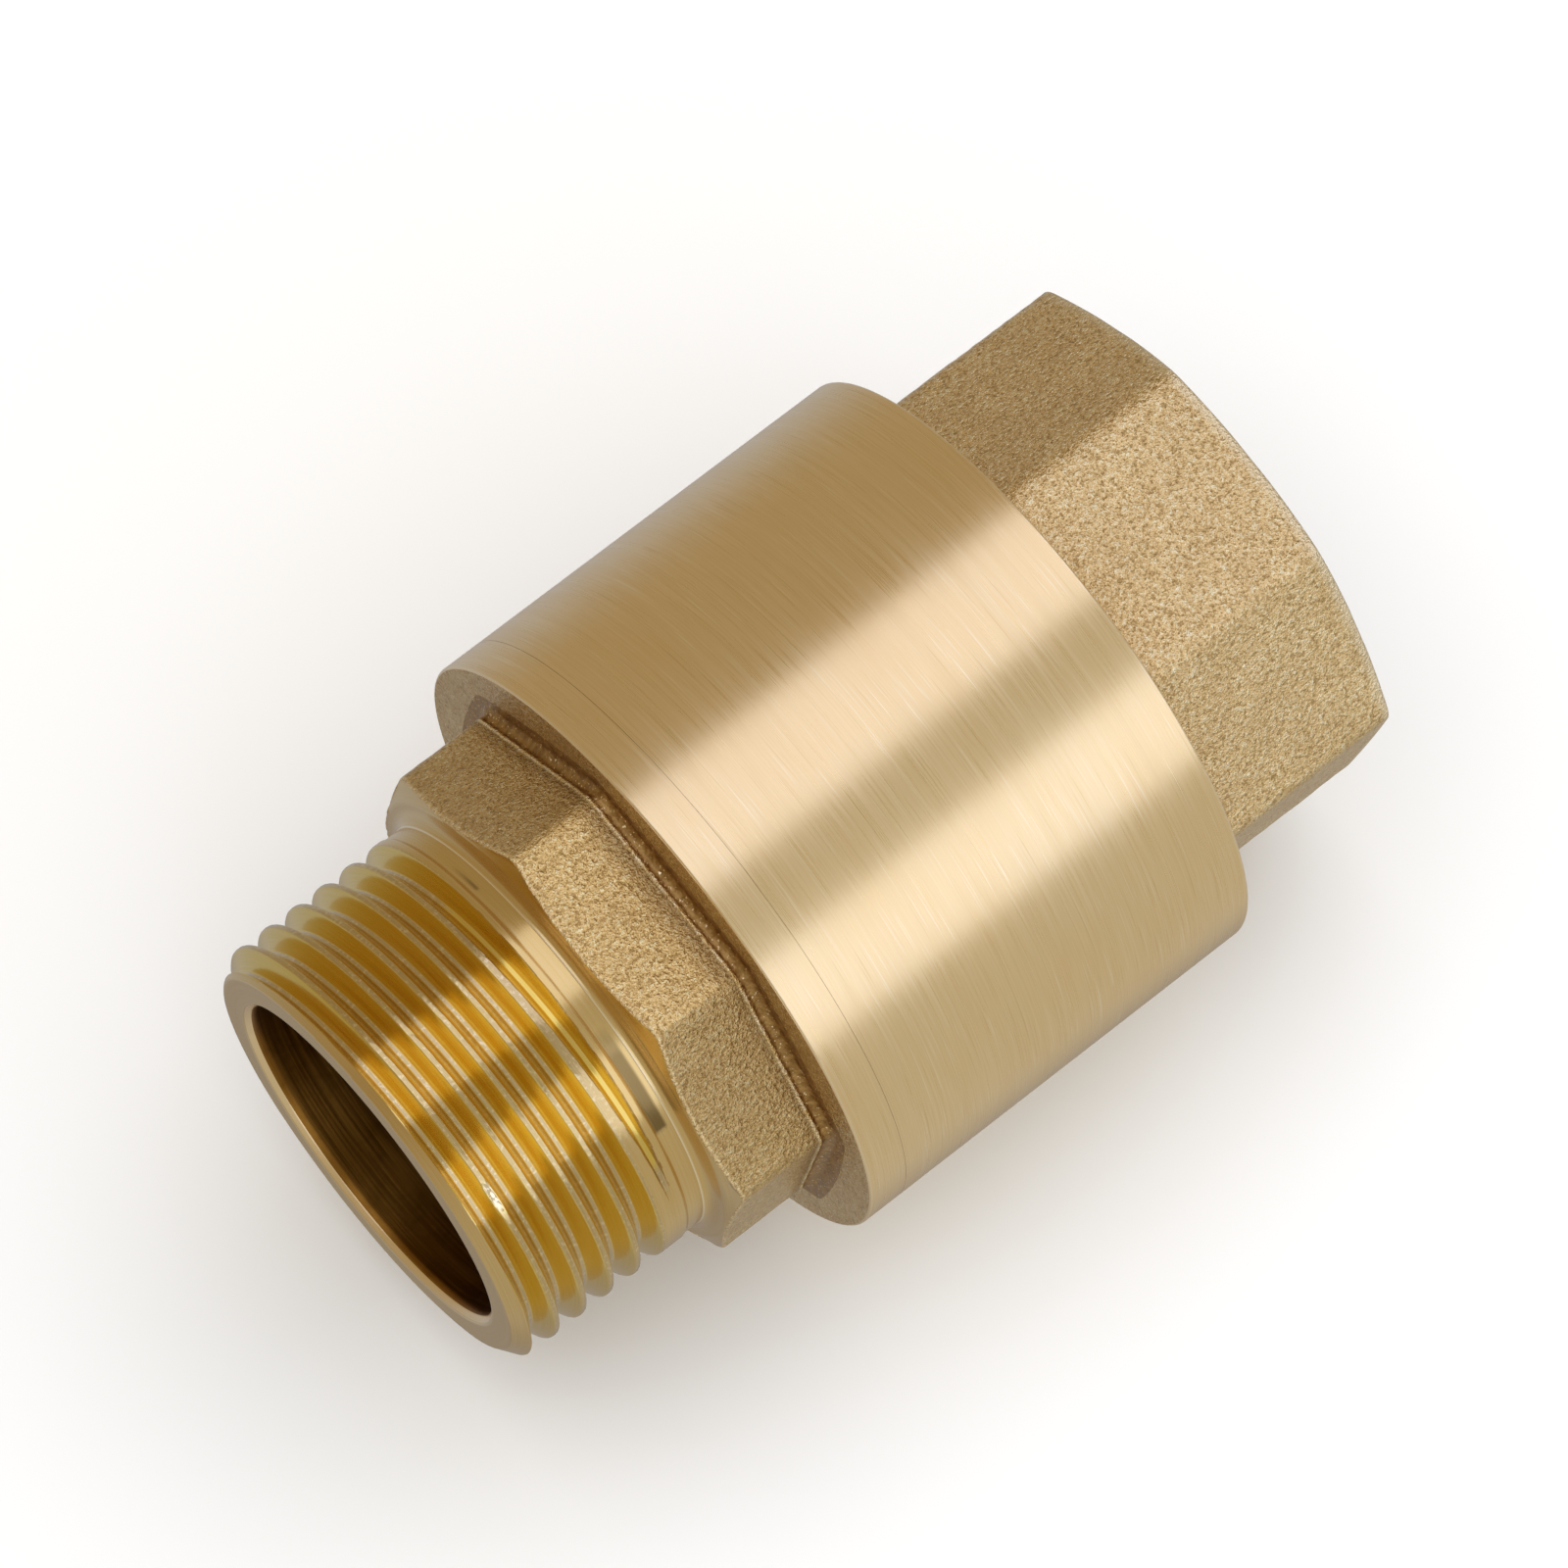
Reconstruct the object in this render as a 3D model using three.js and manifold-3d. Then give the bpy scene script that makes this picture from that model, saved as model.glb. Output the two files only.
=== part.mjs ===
// In-line spring check valve with G 1 pipe threads: male inlet, female outlet.
// Units are millimetres. The flow axis is X and flow runs towards +X. The origin is on that axis,
// midway between the inlet face and the outlet face. Angles round the axis are measured from +Z
// towards -Y. The poppet is closed.

import * as THREE from 'three';
import { mergeVertices } from 'three/addons/utils/BufferGeometryUtils.js';
import Module from 'manifold-3d';

const wasm = await Module();
wasm.setup();

// ---------------------------------------------------------------- driving dimensions

// Stations along the flow axis.
const LENGTH = 73;
const INLET_FACE = -LENGTH / 2;
const OUTLET_FACE = LENGTH / 2;
const INLET_OCTAGON_FRONT = -20.4;
const BARREL_START = -12.2;
const BARREL_END = 20.7;
const SEAM = -9.2;

// Outside radii and flats.
const BARREL_R = 23.3;
const BARREL_EDGE = 0.25;
const INLET_FLATS = 36.6;
const INLET_TURN = 31.3;
const OUTLET_FLATS = 37.2;
const OUTLET_TURN = 34.3;
const OCTAGON_CORNER_R = 1.8;
const INLET_CHAMFER = 0.9;
const OUTLET_CHAMFER = 0.5;
const CHAMFER_RISE = 2;

// G 1 pipe thread.
const PITCH = 2.309;
const THREAD_DEPTH = 1.479;
const MALE_CREST_R = 16.62;
const FEMALE_CREST_R = 15.15;
const ROOT_HALF_WIDTH = 0.2;
const FLANK_SLOPE = Math.tan(THREE.MathUtils.degToRad(27.5));
const THREAD_OVERCUT = 0.3;
const MALE_TURNS = 6.3;
const MALE_LAST_ROOT = -23.29;
const MALE_LAST_ANGLE = 77.3;
const FEMALE_TURNS = 6.2;
const FEMALE_FIRST_ROOT = 23.6;
const RUN_OUT_TURNS = 0.3;

// Waterway.
const PORT_R = 12.85;
const PORT_CHAMFER = 0.4;
const INLET_FACE_R = 15.35;
const CHAMBER_R = 20;
const WEB_START = 18.7;
const WEB_END = 22.5;
const RELIEF_R = 17;
const RELIEF_LENGTH = 2;
const SOCKET_CHAMFER = 1.9;

// Spigot of the end connector, with its seat and O-ring groove.
const SEAM_GAP = 0.04;
const SPIGOT_R = 19.85;
const SPIGOT_END = 0.6;
const LIP_HEIGHT = 0.6;
const LIP_INNER_R = 13.5;
const LIP_OUTER_R = 14.3;
const O_RING_R = 18.7;
const O_RING_CORD_R = 1.25;
const O_RING_GROOVE = 3;
const O_RING_FLOOR_R = 17.4;

// Poppet and what is clamped to it.
const STUD_START = -6.2;
const STEM_R = 3;
const STEM_END = 17.9;
const DISC_R = 15.6;
const DISC_BACK = 5.8;
const SEAL_FRONT = 1.28;
const SEAL_BACK = 3.35;
const SEAL_INNER_R = 11.6;
const SEAL_OUTER_R = 14.9;
const PLATE_FRONT = -0.9;
const PLATE_BACK = 1.2;
const PLATE_R = 12.4;
const WASHER_THICKNESS = 1.1;
const NUT_THICKNESS = 3;
const NUT_FLATS = 10;
const STACK_GAP = 0.1;

// Closing spring and guide.
const SPRING_R = 6.5;
const SPRING_WIRE_R = 0.45;
const SPRING_TURNS = 4.5;
const SPRING_DEAD_TURNS = 0.8;
const SPRING_SEAT_DEPTH = 1;
const SPRING_SEAT_INNER_R = 5.8;
const SPRING_SEAT_OUTER_R = 7.4;
const GUIDE_BACK = 18.6;
const GUIDE_ARM_FRONT = 16.4;
const GUIDE_RIM_FRONT = 15.4;
const GUIDE_HUB_FRONT = 13.4;
const GUIDE_RIM_R = 19.8;
const GUIDE_RIM_INNER_R = 17.8;
const GUIDE_HUB_R = 5.5;
const GUIDE_ARMS = 3;
const GUIDE_ARM_WIDTH = 4;
const BUSH_R = 4.05;
const BUSH_BORE_R = 3.08;
const BUSH_FLANGE_R = 5.2;
const BUSH_FLANGE = 0.7;

// Facets.
const ROUND = 48;
const ROUND_SMALL = 24;
const THREAD_STEPS = 24;

// ---------------------------------------------------------------- materials

const surface = (color, roughness, metalness) =>
  new THREE.MeshStandardMaterial({ color, roughness, metalness });

const brass = surface(0xc9a468, 0.38, 1);
const castBrass = surface(0xb9945a, 0.5, 1);
const stainless = surface(0xb8b9ba, 0.3, 1);
const blackRubber = surface(0x1d1d1e, 0.75, 0);
const whitePolymer = surface(0xe9e6dd, 0.45, 0);

// ---------------------------------------------------------------- solids

// Closed geometry as a manifold solid; triangles that collapse on the axis are dropped.
function toSolid(geometry) {
  geometry.deleteAttribute('normal');
  geometry.deleteAttribute('uv');
  const merged = mergeVertices(geometry, 1e-5);
  const index = merged.index.array;
  const triangles = [];
  for (let i = 0; i < index.length; i += 3) {
    const [a, b, c] = index.subarray(i, i + 3);
    if (a !== b && b !== c && c !== a) triangles.push(a, b, c);
  }
  return new wasm.Manifold(new wasm.Mesh({
    numProp: 3,
    vertProperties: merged.attributes.position.array,
    triVerts: new Uint32Array(triangles),
  }));
}

function toMesh(name, solid, material) {
  const { vertProperties, triVerts } = solid.getMesh();
  const geometry = new THREE.BufferGeometry();
  geometry.setAttribute('position', new THREE.BufferAttribute(vertProperties, 3));
  geometry.setIndex(new THREE.BufferAttribute(triVerts, 1));
  geometry.computeVertexNormals();
  const mesh = new THREE.Mesh(geometry, material);
  mesh.name = name;
  return mesh;
}

// Outline of [x, radius] points turned round the X axis. The outside of the outline runs towards
// +X and a bore runs back, and an outline of a piece with no bore starts and ends on the axis.
function turned(outline, segments = ROUND) {
  const points = outline.map(([x, radius]) => new THREE.Vector2(radius, x));
  return toSolid(new THREE.LatheGeometry(points, segments).rotateZ(-Math.PI / 2));
}

// Ring with a rectangular section.
function ring(start, end, innerR, outerR, segments = ROUND) {
  return turned([
    [start, innerR],
    [start, outerR],
    [end, outerR],
    [end, innerR],
    [start, innerR],
  ], segments);
}

// Flat outline, drawn in the YZ plane, extruded from start to end along X.
function extruded(shape, start, end, curveSegments = 2) {
  const geometry = new THREE.ExtrudeGeometry(shape, {
    depth: end - start,
    bevelEnabled: false,
    curveSegments,
  });
  return toSolid(geometry.rotateY(Math.PI / 2).translate(start, 0, 0));
}

// Regular polygon with rounded corners, given across its flats.
function polygonShape(sides, flats, cornerR, turnDegrees) {
  const half = Math.PI / sides;
  const turn = THREE.MathUtils.degToRad(turnDegrees);
  const centreR = (flats / 2 - cornerR) / Math.cos(half);
  const shape = new THREE.Shape();
  for (let k = 0; k < sides; k += 1) {
    const angle = turn + Math.PI + 2 * half * k;
    const centre = new THREE.Vector2(centreR, 0).rotateAround(new THREE.Vector2(), angle);
    shape.absarc(centre.x, centre.y, cornerR, angle - half, angle + half, false);
  }
  return shape;
}

// Spanner octagon whose corners are turned off at its inlet end or at its outlet end.
function spannerOctagon({ start, end, flats, turn, inletChamfer = 0, outletChamfer = 0 }) {
  const block = extruded(polygonShape(8, flats, OCTAGON_CORNER_R, turn), start, end);
  const faceR = flats / 2 - 0.1;
  const fullR = faceR + CHAMFER_RISE;
  return block.intersect(turned([
    [start, 0],
    [start, inletChamfer ? faceR : fullR],
    [start + inletChamfer, fullR],
    [end - outletChamfer, fullR],
    [end, outletChamfer ? faceR : fullR],
    [end, 0],
  ]));
}

// Cutter for a right-handed thread groove: a bar of four-sided section wound along a helix.
// liftAt gives how far the section is drawn back from the work, for a run-out.
function threadCutter({ firstX, firstAngle, turns, nearR, nearHalf, farR, farHalf, liftAt }) {
  const geometry = new THREE.BoxGeometry(1, 1, 1, Math.round(turns * THREAD_STEPS), 1, 1);
  const position = geometry.attributes.position;
  const start = THREE.MathUtils.degToRad(firstAngle);
  for (let i = 0; i < position.count; i += 1) {
    const along = position.getX(i) + 0.5;
    const far = position.getY(i) > 0;
    const side = -2 * position.getZ(i);
    const angle = start + along * turns * 2 * Math.PI;
    const radius = (far ? farR : nearR) + liftAt(along * turns);
    const x = firstX + along * turns * PITCH + side * (far ? farHalf : nearHalf);
    position.setXYZ(i, x, -radius * Math.sin(angle), radius * Math.cos(angle));
  }
  return toSolid(geometry);
}

const grooveHalf = (depth) => ROOT_HALF_WIDTH + depth * FLANK_SLOPE;

// Groove of the male thread, running out towards the octagon.
function maleThreadCutter() {
  const runOut = (turn) => {
    const left = (MALE_TURNS - turn) / RUN_OUT_TURNS;
    return left >= 1 ? 0 : (1 - left) * (THREAD_DEPTH + THREAD_OVERCUT);
  };
  return threadCutter({
    firstX: MALE_LAST_ROOT - MALE_TURNS * PITCH,
    firstAngle: MALE_LAST_ANGLE - MALE_TURNS * 360,
    turns: MALE_TURNS,
    nearR: MALE_CREST_R - THREAD_DEPTH,
    nearHalf: grooveHalf(0),
    farR: MALE_CREST_R + THREAD_OVERCUT,
    farHalf: grooveHalf(THREAD_DEPTH + THREAD_OVERCUT),
    liftAt: runOut,
  });
}

// Groove of the female thread, from the relief groove out through the face.
function femaleThreadCutter() {
  return threadCutter({
    firstX: FEMALE_FIRST_ROOT,
    firstAngle: 0,
    turns: FEMALE_TURNS,
    nearR: FEMALE_CREST_R - THREAD_OVERCUT,
    nearHalf: grooveHalf(THREAD_DEPTH + THREAD_OVERCUT),
    farR: FEMALE_CREST_R + THREAD_DEPTH,
    farHalf: grooveHalf(0),
    liftAt: () => 0,
  });
}

// ---------------------------------------------------------------- housing

// Female half: octagon, barrel, poppet chamber, web with the outlet port, threaded socket.
function valveBody() {
  const barrel = turned([
    [SEAM + SEAM_GAP / 2, 0],
    [SEAM + SEAM_GAP / 2, BARREL_R],
    [BARREL_END - BARREL_EDGE, BARREL_R],
    [BARREL_END, BARREL_R - BARREL_EDGE],
    [BARREL_END, 0],
  ]);
  const octagon = spannerOctagon({
    start: BARREL_END - 1,
    end: OUTLET_FACE,
    flats: OUTLET_FLATS,
    turn: OUTLET_TURN,
    outletChamfer: OUTLET_CHAMFER,
  });
  const waterway = turned([
    [SEAM - 1, 0],
    [SEAM - 1, CHAMBER_R],
    [WEB_START, CHAMBER_R],
    [WEB_START, PORT_R],
    [WEB_END, PORT_R],
    [WEB_END, RELIEF_R],
    [WEB_END + RELIEF_LENGTH, RELIEF_R],
    [WEB_END + RELIEF_LENGTH + RELIEF_R - FEMALE_CREST_R, FEMALE_CREST_R],
    [OUTLET_FACE - SOCKET_CHAMFER, FEMALE_CREST_R],
    [OUTLET_FACE + 1, FEMALE_CREST_R + SOCKET_CHAMFER + 1],
    [OUTLET_FACE + 1, 0],
  ]);
  return barrel.add(octagon).subtract(waterway).subtract(femaleThreadCutter());
}

// Male half: threaded tail, octagon, flange of the barrel, spigot with the seat on its inner end.
function endConnector() {
  const tailChamfer = 1;
  const neckFillet = 0.6;
  const spigotEdge = 0.6;
  const blank = turned([
    [INLET_FACE, 0],
    [INLET_FACE, INLET_FACE_R],
    [INLET_FACE + tailChamfer, MALE_CREST_R],
    [INLET_OCTAGON_FRONT - neckFillet, MALE_CREST_R],
    [INLET_OCTAGON_FRONT, MALE_CREST_R + neckFillet],
    [BARREL_START, MALE_CREST_R + neckFillet],
    [BARREL_START, BARREL_R - BARREL_EDGE],
    [BARREL_START + BARREL_EDGE, BARREL_R],
    [SEAM - SEAM_GAP / 2, BARREL_R],
    [SEAM - SEAM_GAP / 2, O_RING_FLOOR_R],
    [SEAM + O_RING_GROOVE, O_RING_FLOOR_R],
    [SEAM + O_RING_GROOVE, SPIGOT_R],
    [SPIGOT_END - spigotEdge, SPIGOT_R],
    [SPIGOT_END, SPIGOT_R - spigotEdge],
    [SPIGOT_END, LIP_OUTER_R + 0.3],
    [SPIGOT_END + LIP_HEIGHT, LIP_OUTER_R],
    [SPIGOT_END + LIP_HEIGHT, 0],
  ]);
  const octagon = spannerOctagon({
    start: INLET_OCTAGON_FRONT,
    end: BARREL_START + 1,
    flats: INLET_FLATS,
    turn: INLET_TURN,
    inletChamfer: INLET_CHAMFER,
  });
  const bore = turned([
    [INLET_FACE - 1, 0],
    [INLET_FACE - 1, PORT_R + PORT_CHAMFER + 1],
    [INLET_FACE + PORT_CHAMFER, PORT_R],
    [SPIGOT_END, PORT_R],
    [SPIGOT_END + LIP_HEIGHT, LIP_INNER_R],
    [SPIGOT_END + LIP_HEIGHT + 1, LIP_INNER_R],
    [SPIGOT_END + LIP_HEIGHT + 1, 0],
  ]);
  return blank.add(octagon).subtract(bore).subtract(maleThreadCutter());
}

function jointORing() {
  const cordSides = 8;
  const torus = new THREE.TorusGeometry(O_RING_R, O_RING_CORD_R, cordSides, ROUND);
  return toSolid(torus.rotateY(Math.PI / 2).translate(SEAM + O_RING_GROOVE / 2, 0, 0));
}

// ---------------------------------------------------------------- poppet

// Disc with a pocket for the seal, a spring seat in its back, the stem, and the stud in front.
function poppet() {
  const edge = 0.4;
  const stemFillet = 0.2;
  const pocketR = SEAL_OUTER_R + STACK_GAP;
  const pocketFloor = SEAL_BACK + STACK_GAP;
  const bossFront = PLATE_BACK + STACK_GAP;
  const seatFloor = DISC_BACK - SPRING_SEAT_DEPTH;
  return turned([
    [STUD_START, 0],
    [STUD_START, STEM_R - edge],
    [STUD_START + edge, STEM_R],
    [bossFront, STEM_R],
    [bossFront, SEAL_INNER_R - STACK_GAP],
    [pocketFloor, SEAL_INNER_R - STACK_GAP],
    [pocketFloor, pocketR],
    [SEAL_FRONT + 0.8, pocketR],
    [SEAL_FRONT + 0.8, DISC_R],
    [DISC_BACK - 0.8, DISC_R],
    [DISC_BACK, DISC_R - 1.6],
    [DISC_BACK, SPRING_SEAT_OUTER_R],
    [seatFloor, SPRING_SEAT_OUTER_R],
    [seatFloor, SPRING_SEAT_INNER_R],
    [DISC_BACK, SPRING_SEAT_INNER_R],
    [DISC_BACK, STEM_R + stemFillet],
    [DISC_BACK + stemFillet, STEM_R],
    [STEM_END - edge, STEM_R],
    [STEM_END, STEM_R - edge],
    [STEM_END, 0],
  ], ROUND_SMALL * 2);
}

const sealRing = () => ring(SEAL_FRONT, SEAL_BACK, SEAL_INNER_R, SEAL_OUTER_R, ROUND_SMALL * 2);

// Plate with a coned front that holds the seal in its pocket.
function sealPlate() {
  const holeR = STEM_R + STACK_GAP;
  return turned([
    [PLATE_FRONT, holeR],
    [PLATE_FRONT, PLATE_R - 2.4],
    [PLATE_FRONT + 1, PLATE_R],
    [PLATE_BACK, PLATE_R],
    [PLATE_BACK, holeR],
    [PLATE_FRONT, holeR],
  ], ROUND_SMALL * 2);
}

const WASHER_END = PLATE_FRONT - STACK_GAP;
const WASHER_START = WASHER_END - WASHER_THICKNESS;
const NUT_END = WASHER_START - STACK_GAP;

// Split ring under the nut.
function lockWasher() {
  const outerR = 5.2;
  const innerR = STEM_R + STACK_GAP;
  const split = 0.08;
  const shape = new THREE.Shape();
  shape.absarc(0, 0, outerR, split, 2 * Math.PI - split, false);
  shape.absarc(0, 0, innerR, 2 * Math.PI - 1.7 * split, 1.7 * split, true);
  return extruded(shape, WASHER_START, WASHER_END, ROUND_SMALL / 2);
}

function plateNut() {
  const edge = 0.5;
  const start = NUT_END - NUT_THICKNESS;
  const cornerR = NUT_FLATS / Math.sqrt(3);
  const block = extruded(polygonShape(6, NUT_FLATS, 0.2, 0), start, NUT_END);
  const envelope = turned([
    [start, 0],
    [start, NUT_FLATS / 2],
    [start + edge, cornerR],
    [NUT_END - edge, cornerR],
    [NUT_END, NUT_FLATS / 2],
    [NUT_END, 0],
  ], ROUND_SMALL);
  const hole = ring(start - 1, NUT_END + 1, 0, STEM_R + STACK_GAP, ROUND_SMALL);
  return block.intersect(envelope).subtract(hole);
}

// ---------------------------------------------------------------- spring and guide

// Centre line of a compression spring with closed ends, about the X axis.
class SpringLine extends THREE.Curve {
  constructor(start, end) {
    super();
    this.start = start;
    this.end = end;
  }

  // Axial advance after a number of turns: wire beside wire in the dead turns, even between them.
  advance(turn) {
    const deadPitch = 2 * SPRING_WIRE_R + 0.05;
    const deadRise = SPRING_DEAD_TURNS * deadPitch;
    const activeTurns = SPRING_TURNS - 2 * SPRING_DEAD_TURNS;
    const activePitch = (this.end - this.start - 2 * deadRise) / activeTurns;
    const dead = Math.min(turn, SPRING_DEAD_TURNS)
      + Math.max(0, turn - SPRING_DEAD_TURNS - activeTurns);
    return dead * deadPitch + (turn - dead) * activePitch;
  }

  getPoint(t, target = new THREE.Vector3()) {
    const turn = t * SPRING_TURNS;
    const angle = turn * 2 * Math.PI;
    const x = this.start + this.advance(turn);
    return target.set(x, -SPRING_R * Math.sin(angle), SPRING_R * Math.cos(angle));
  }
}

function closingSpring() {
  const stepsPerTurn = 16;
  const clearance = SPRING_WIRE_R + 0.03;
  const line = new SpringLine(DISC_BACK - SPRING_SEAT_DEPTH + clearance, GUIDE_ARM_FRONT - clearance);
  const wire = new THREE.Shape();
  wire.absarc(0, 0, SPRING_WIRE_R, 0, 2 * Math.PI, false);
  return toSolid(new THREE.ExtrudeGeometry(wire, {
    steps: SPRING_TURNS * stepsPerTurn,
    curveSegments: 3,
    extrudePath: line,
  }));
}

// Rim that rests on the web, spoked to a hub that carries the bush.
function guideSpider() {
  const rim = ring(GUIDE_RIM_FRONT, GUIDE_BACK, GUIDE_RIM_INNER_R, GUIDE_RIM_R);
  const hub = ring(GUIDE_HUB_FRONT, GUIDE_BACK, BUSH_R + STACK_GAP, GUIDE_HUB_R, ROUND_SMALL);
  const armStart = (BUSH_R + GUIDE_HUB_R) / 2 + 0.2;
  const armEnd = (GUIDE_RIM_INNER_R + GUIDE_RIM_R) / 2;
  let spider = rim.add(hub);
  for (let k = 0; k < GUIDE_ARMS; k += 1) {
    const arm = new THREE.BoxGeometry(
      GUIDE_BACK - GUIDE_ARM_FRONT, GUIDE_ARM_WIDTH, armEnd - armStart,
    );
    arm.translate((GUIDE_BACK + GUIDE_ARM_FRONT) / 2, 0, (armStart + armEnd) / 2);
    arm.rotateX((k * 2 * Math.PI) / GUIDE_ARMS);
    spider = spider.add(toSolid(arm));
  }
  return spider;
}

// Flanged sleeve in the hub; its flange is the stop of the open poppet.
function guideBush() {
  const flangeBack = GUIDE_HUB_FRONT - STACK_GAP;
  return turned([
    [flangeBack - BUSH_FLANGE, BUSH_BORE_R],
    [flangeBack - BUSH_FLANGE, BUSH_FLANGE_R],
    [flangeBack, BUSH_FLANGE_R],
    [flangeBack, BUSH_R],
    [GUIDE_BACK, BUSH_R],
    [GUIDE_BACK, BUSH_BORE_R],
    [flangeBack - BUSH_FLANGE, BUSH_BORE_R],
  ], ROUND_SMALL);
}

// ---------------------------------------------------------------- assembly

const valve = new THREE.Group();
valve.add(
  toMesh('valve_body', valveBody(), castBrass),
  toMesh('end_connector', endConnector(), brass),
  toMesh('joint_o_ring', jointORing(), blackRubber),
  toMesh('guide_spider', guideSpider(), brass),
  toMesh('guide_bush', guideBush(), whitePolymer),
  toMesh('closing_spring', closingSpring(), stainless),
  toMesh('poppet', poppet(), brass),
  toMesh('seal_ring', sealRing(), blackRubber),
  toMesh('seal_plate', sealPlate(), brass),
  toMesh('lock_washer', lockWasher(), stainless),
  toMesh('plate_nut', plateNut(), stainless),
);

export default valve;
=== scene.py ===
"""Looks of the in-line spring check valve: fine meshes and procedural brass, rubber and steel round the
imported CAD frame. Shapes are worked out in millimetres in the row frame, with the flow axis on X and
angles measured from +Z towards -Y, and they become metres when a mesh is made."""

import math

import bmesh
import bpy
import numpy as np
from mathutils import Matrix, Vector


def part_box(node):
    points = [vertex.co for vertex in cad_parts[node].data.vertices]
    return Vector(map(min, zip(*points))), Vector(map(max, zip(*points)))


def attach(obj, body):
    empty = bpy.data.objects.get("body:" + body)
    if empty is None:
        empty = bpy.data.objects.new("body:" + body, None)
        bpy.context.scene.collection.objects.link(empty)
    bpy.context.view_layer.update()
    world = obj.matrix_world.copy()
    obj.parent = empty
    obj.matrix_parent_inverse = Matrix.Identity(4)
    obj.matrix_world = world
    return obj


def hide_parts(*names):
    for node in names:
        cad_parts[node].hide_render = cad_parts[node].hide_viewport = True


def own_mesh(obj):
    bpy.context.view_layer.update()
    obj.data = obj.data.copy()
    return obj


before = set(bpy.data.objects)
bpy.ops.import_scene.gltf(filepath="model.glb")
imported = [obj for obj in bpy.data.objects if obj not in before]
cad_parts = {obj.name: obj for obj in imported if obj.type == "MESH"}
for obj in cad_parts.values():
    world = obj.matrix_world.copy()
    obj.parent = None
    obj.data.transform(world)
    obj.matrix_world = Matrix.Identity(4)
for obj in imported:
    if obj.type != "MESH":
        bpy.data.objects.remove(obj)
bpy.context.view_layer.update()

MM = 0.001
TAU = 2 * math.pi


def cad_box(node):
    """Lowest and highest corner of a CAD node, in millimetres."""
    return [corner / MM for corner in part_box(node)]


# ------------------------------------------------------------------ sizes

body_low, body_high = cad_box("valve_body")
tail_low, tail_high = cad_box("end_connector")

BARREL_R = body_high.z
INLET_FACE = tail_low.x
OUTLET_FACE = body_high.x
SEAT_LIP_END = tail_high.x
BARREL_START = -12.2
BARREL_END = 20.7
BARREL_EDGE = 0.18

# Joint line, where the halves meet with a hairline gap.
BODY_SEAM = body_low.x - 0.01
TAIL_SEAM = body_low.x - 0.032

# Spanner octagons; each turn is the angle of a corner in degrees.
INLET_FLATS = 36.6
INLET_TURN = 31.3
INLET_OCTAGON_FRONT = -20.4
INLET_CHAMFER_SLOPE = 0.42
INLET_EDGE_R = 0.15
OUTLET_FLATS = 37.2
OUTLET_TURN = 34.3
OUTLET_CHAMFER_SLOPE = 0.25
OUTLET_EDGE_R = 0.3
CORNER_R = 1.8

# Cast surfaces: fillets, heights of the unevenness, and the room it needs inside the CAD.
INLET_FILLET = 0.75
OUTLET_FILLET = 0.5
CAST_WAVE = 0.03
FACE_ROUGH = 0.02
RIDGE = 0.35
RIDGE_HEIGHT = 0.1
SKIN_ROOM = 0.04

# G 1 pipe thread, Whitworth form; the depth is a share of the pitch.
PITCH = 2.309
THREAD_DEPTH_SHARE = 0.640327
THREAD_FLANK_ANGLE = math.radians(27.5)
THREAD_EASE = 0.06
CREST_R = 16.62
SOCKET_CREST_R = 15.15
MALE_LAST_ROOT = -23.29
MALE_LAST_ANGLE = math.radians(77.3)
MALE_RUN_OUT = 0.3
THREAD_END = -22.0
NECK_START = -22.6
NECK_END = -21.1
NECK_R = 16.5
FLECK_DEPTH = 0.025
CHIP_X = -33.9
CHIP_ANGLE = math.radians(41)
CHIP_HALF_ANGLE = 0.07
CHIP_HALF_WIDTH = 0.5
CHIP_DEPTH = 0.22

# Tool marks on the neck: stations of their sides, then the degrees where they start and end. The second one
# starts well before its real mark; that first part is painted shade over the neck's reflections.
NECK_MARKS_AND_SHADE = ((-22.15, -21.75, -31, -19.5), (-22.5, -21.35, 24, 54.5))
MARK_DEPTH = 0.03

SOCKET_FIRST_ROOT = 23.6

# Waterway.
PORT_R = 12.85
BORE_CHAMFER = 0.4
TAIL_FACE_R = 15.35
TAIL_CHAMFER = 1.0
CHAMBER_R = 20.0
WEB_START = 18.7
WEB_END = 22.5
RELIEF_R = 17.0
RELIEF_END = 24.5
SOCKET_CHAMFER = 1.9
SPIGOT_R = 19.85
SPIGOT_END = 0.6
SPIGOT_CHAMFER = 0.6
O_RING_FLOOR_R = 17.4
O_RING_GROOVE_END = -6.2
LIP_INNER_R = 13.5
LIP_OUTER_R = 14.3

O_RING_R = 18.7
O_RING_CORD_R = 1.25
O_RING_X = -7.7

# Poppet and what is clamped to it.
STUD_START = -6.2
STEM_R = 3.0
STEM_HOLE_R = STEM_R + 0.1
STEM_END = 17.9
DISC_R = 15.6
DISC_BACK = 5.8
SEAL_FRONT = 1.28
SEAL_BACK = 3.35
SEAL_INNER_R = 11.6
SEAL_OUTER_R = 14.9
PLATE_FRONT = -0.9
PLATE_BACK = 1.2
PLATE_R = 12.4
WASHER_START = -2.1
WASHER_END = -1.0
WASHER_R = 5.2
WASHER_SPLIT = 0.08
NUT_END = -2.2
NUT_THICKNESS = 3.0
NUT_FLATS = 10.0

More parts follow.
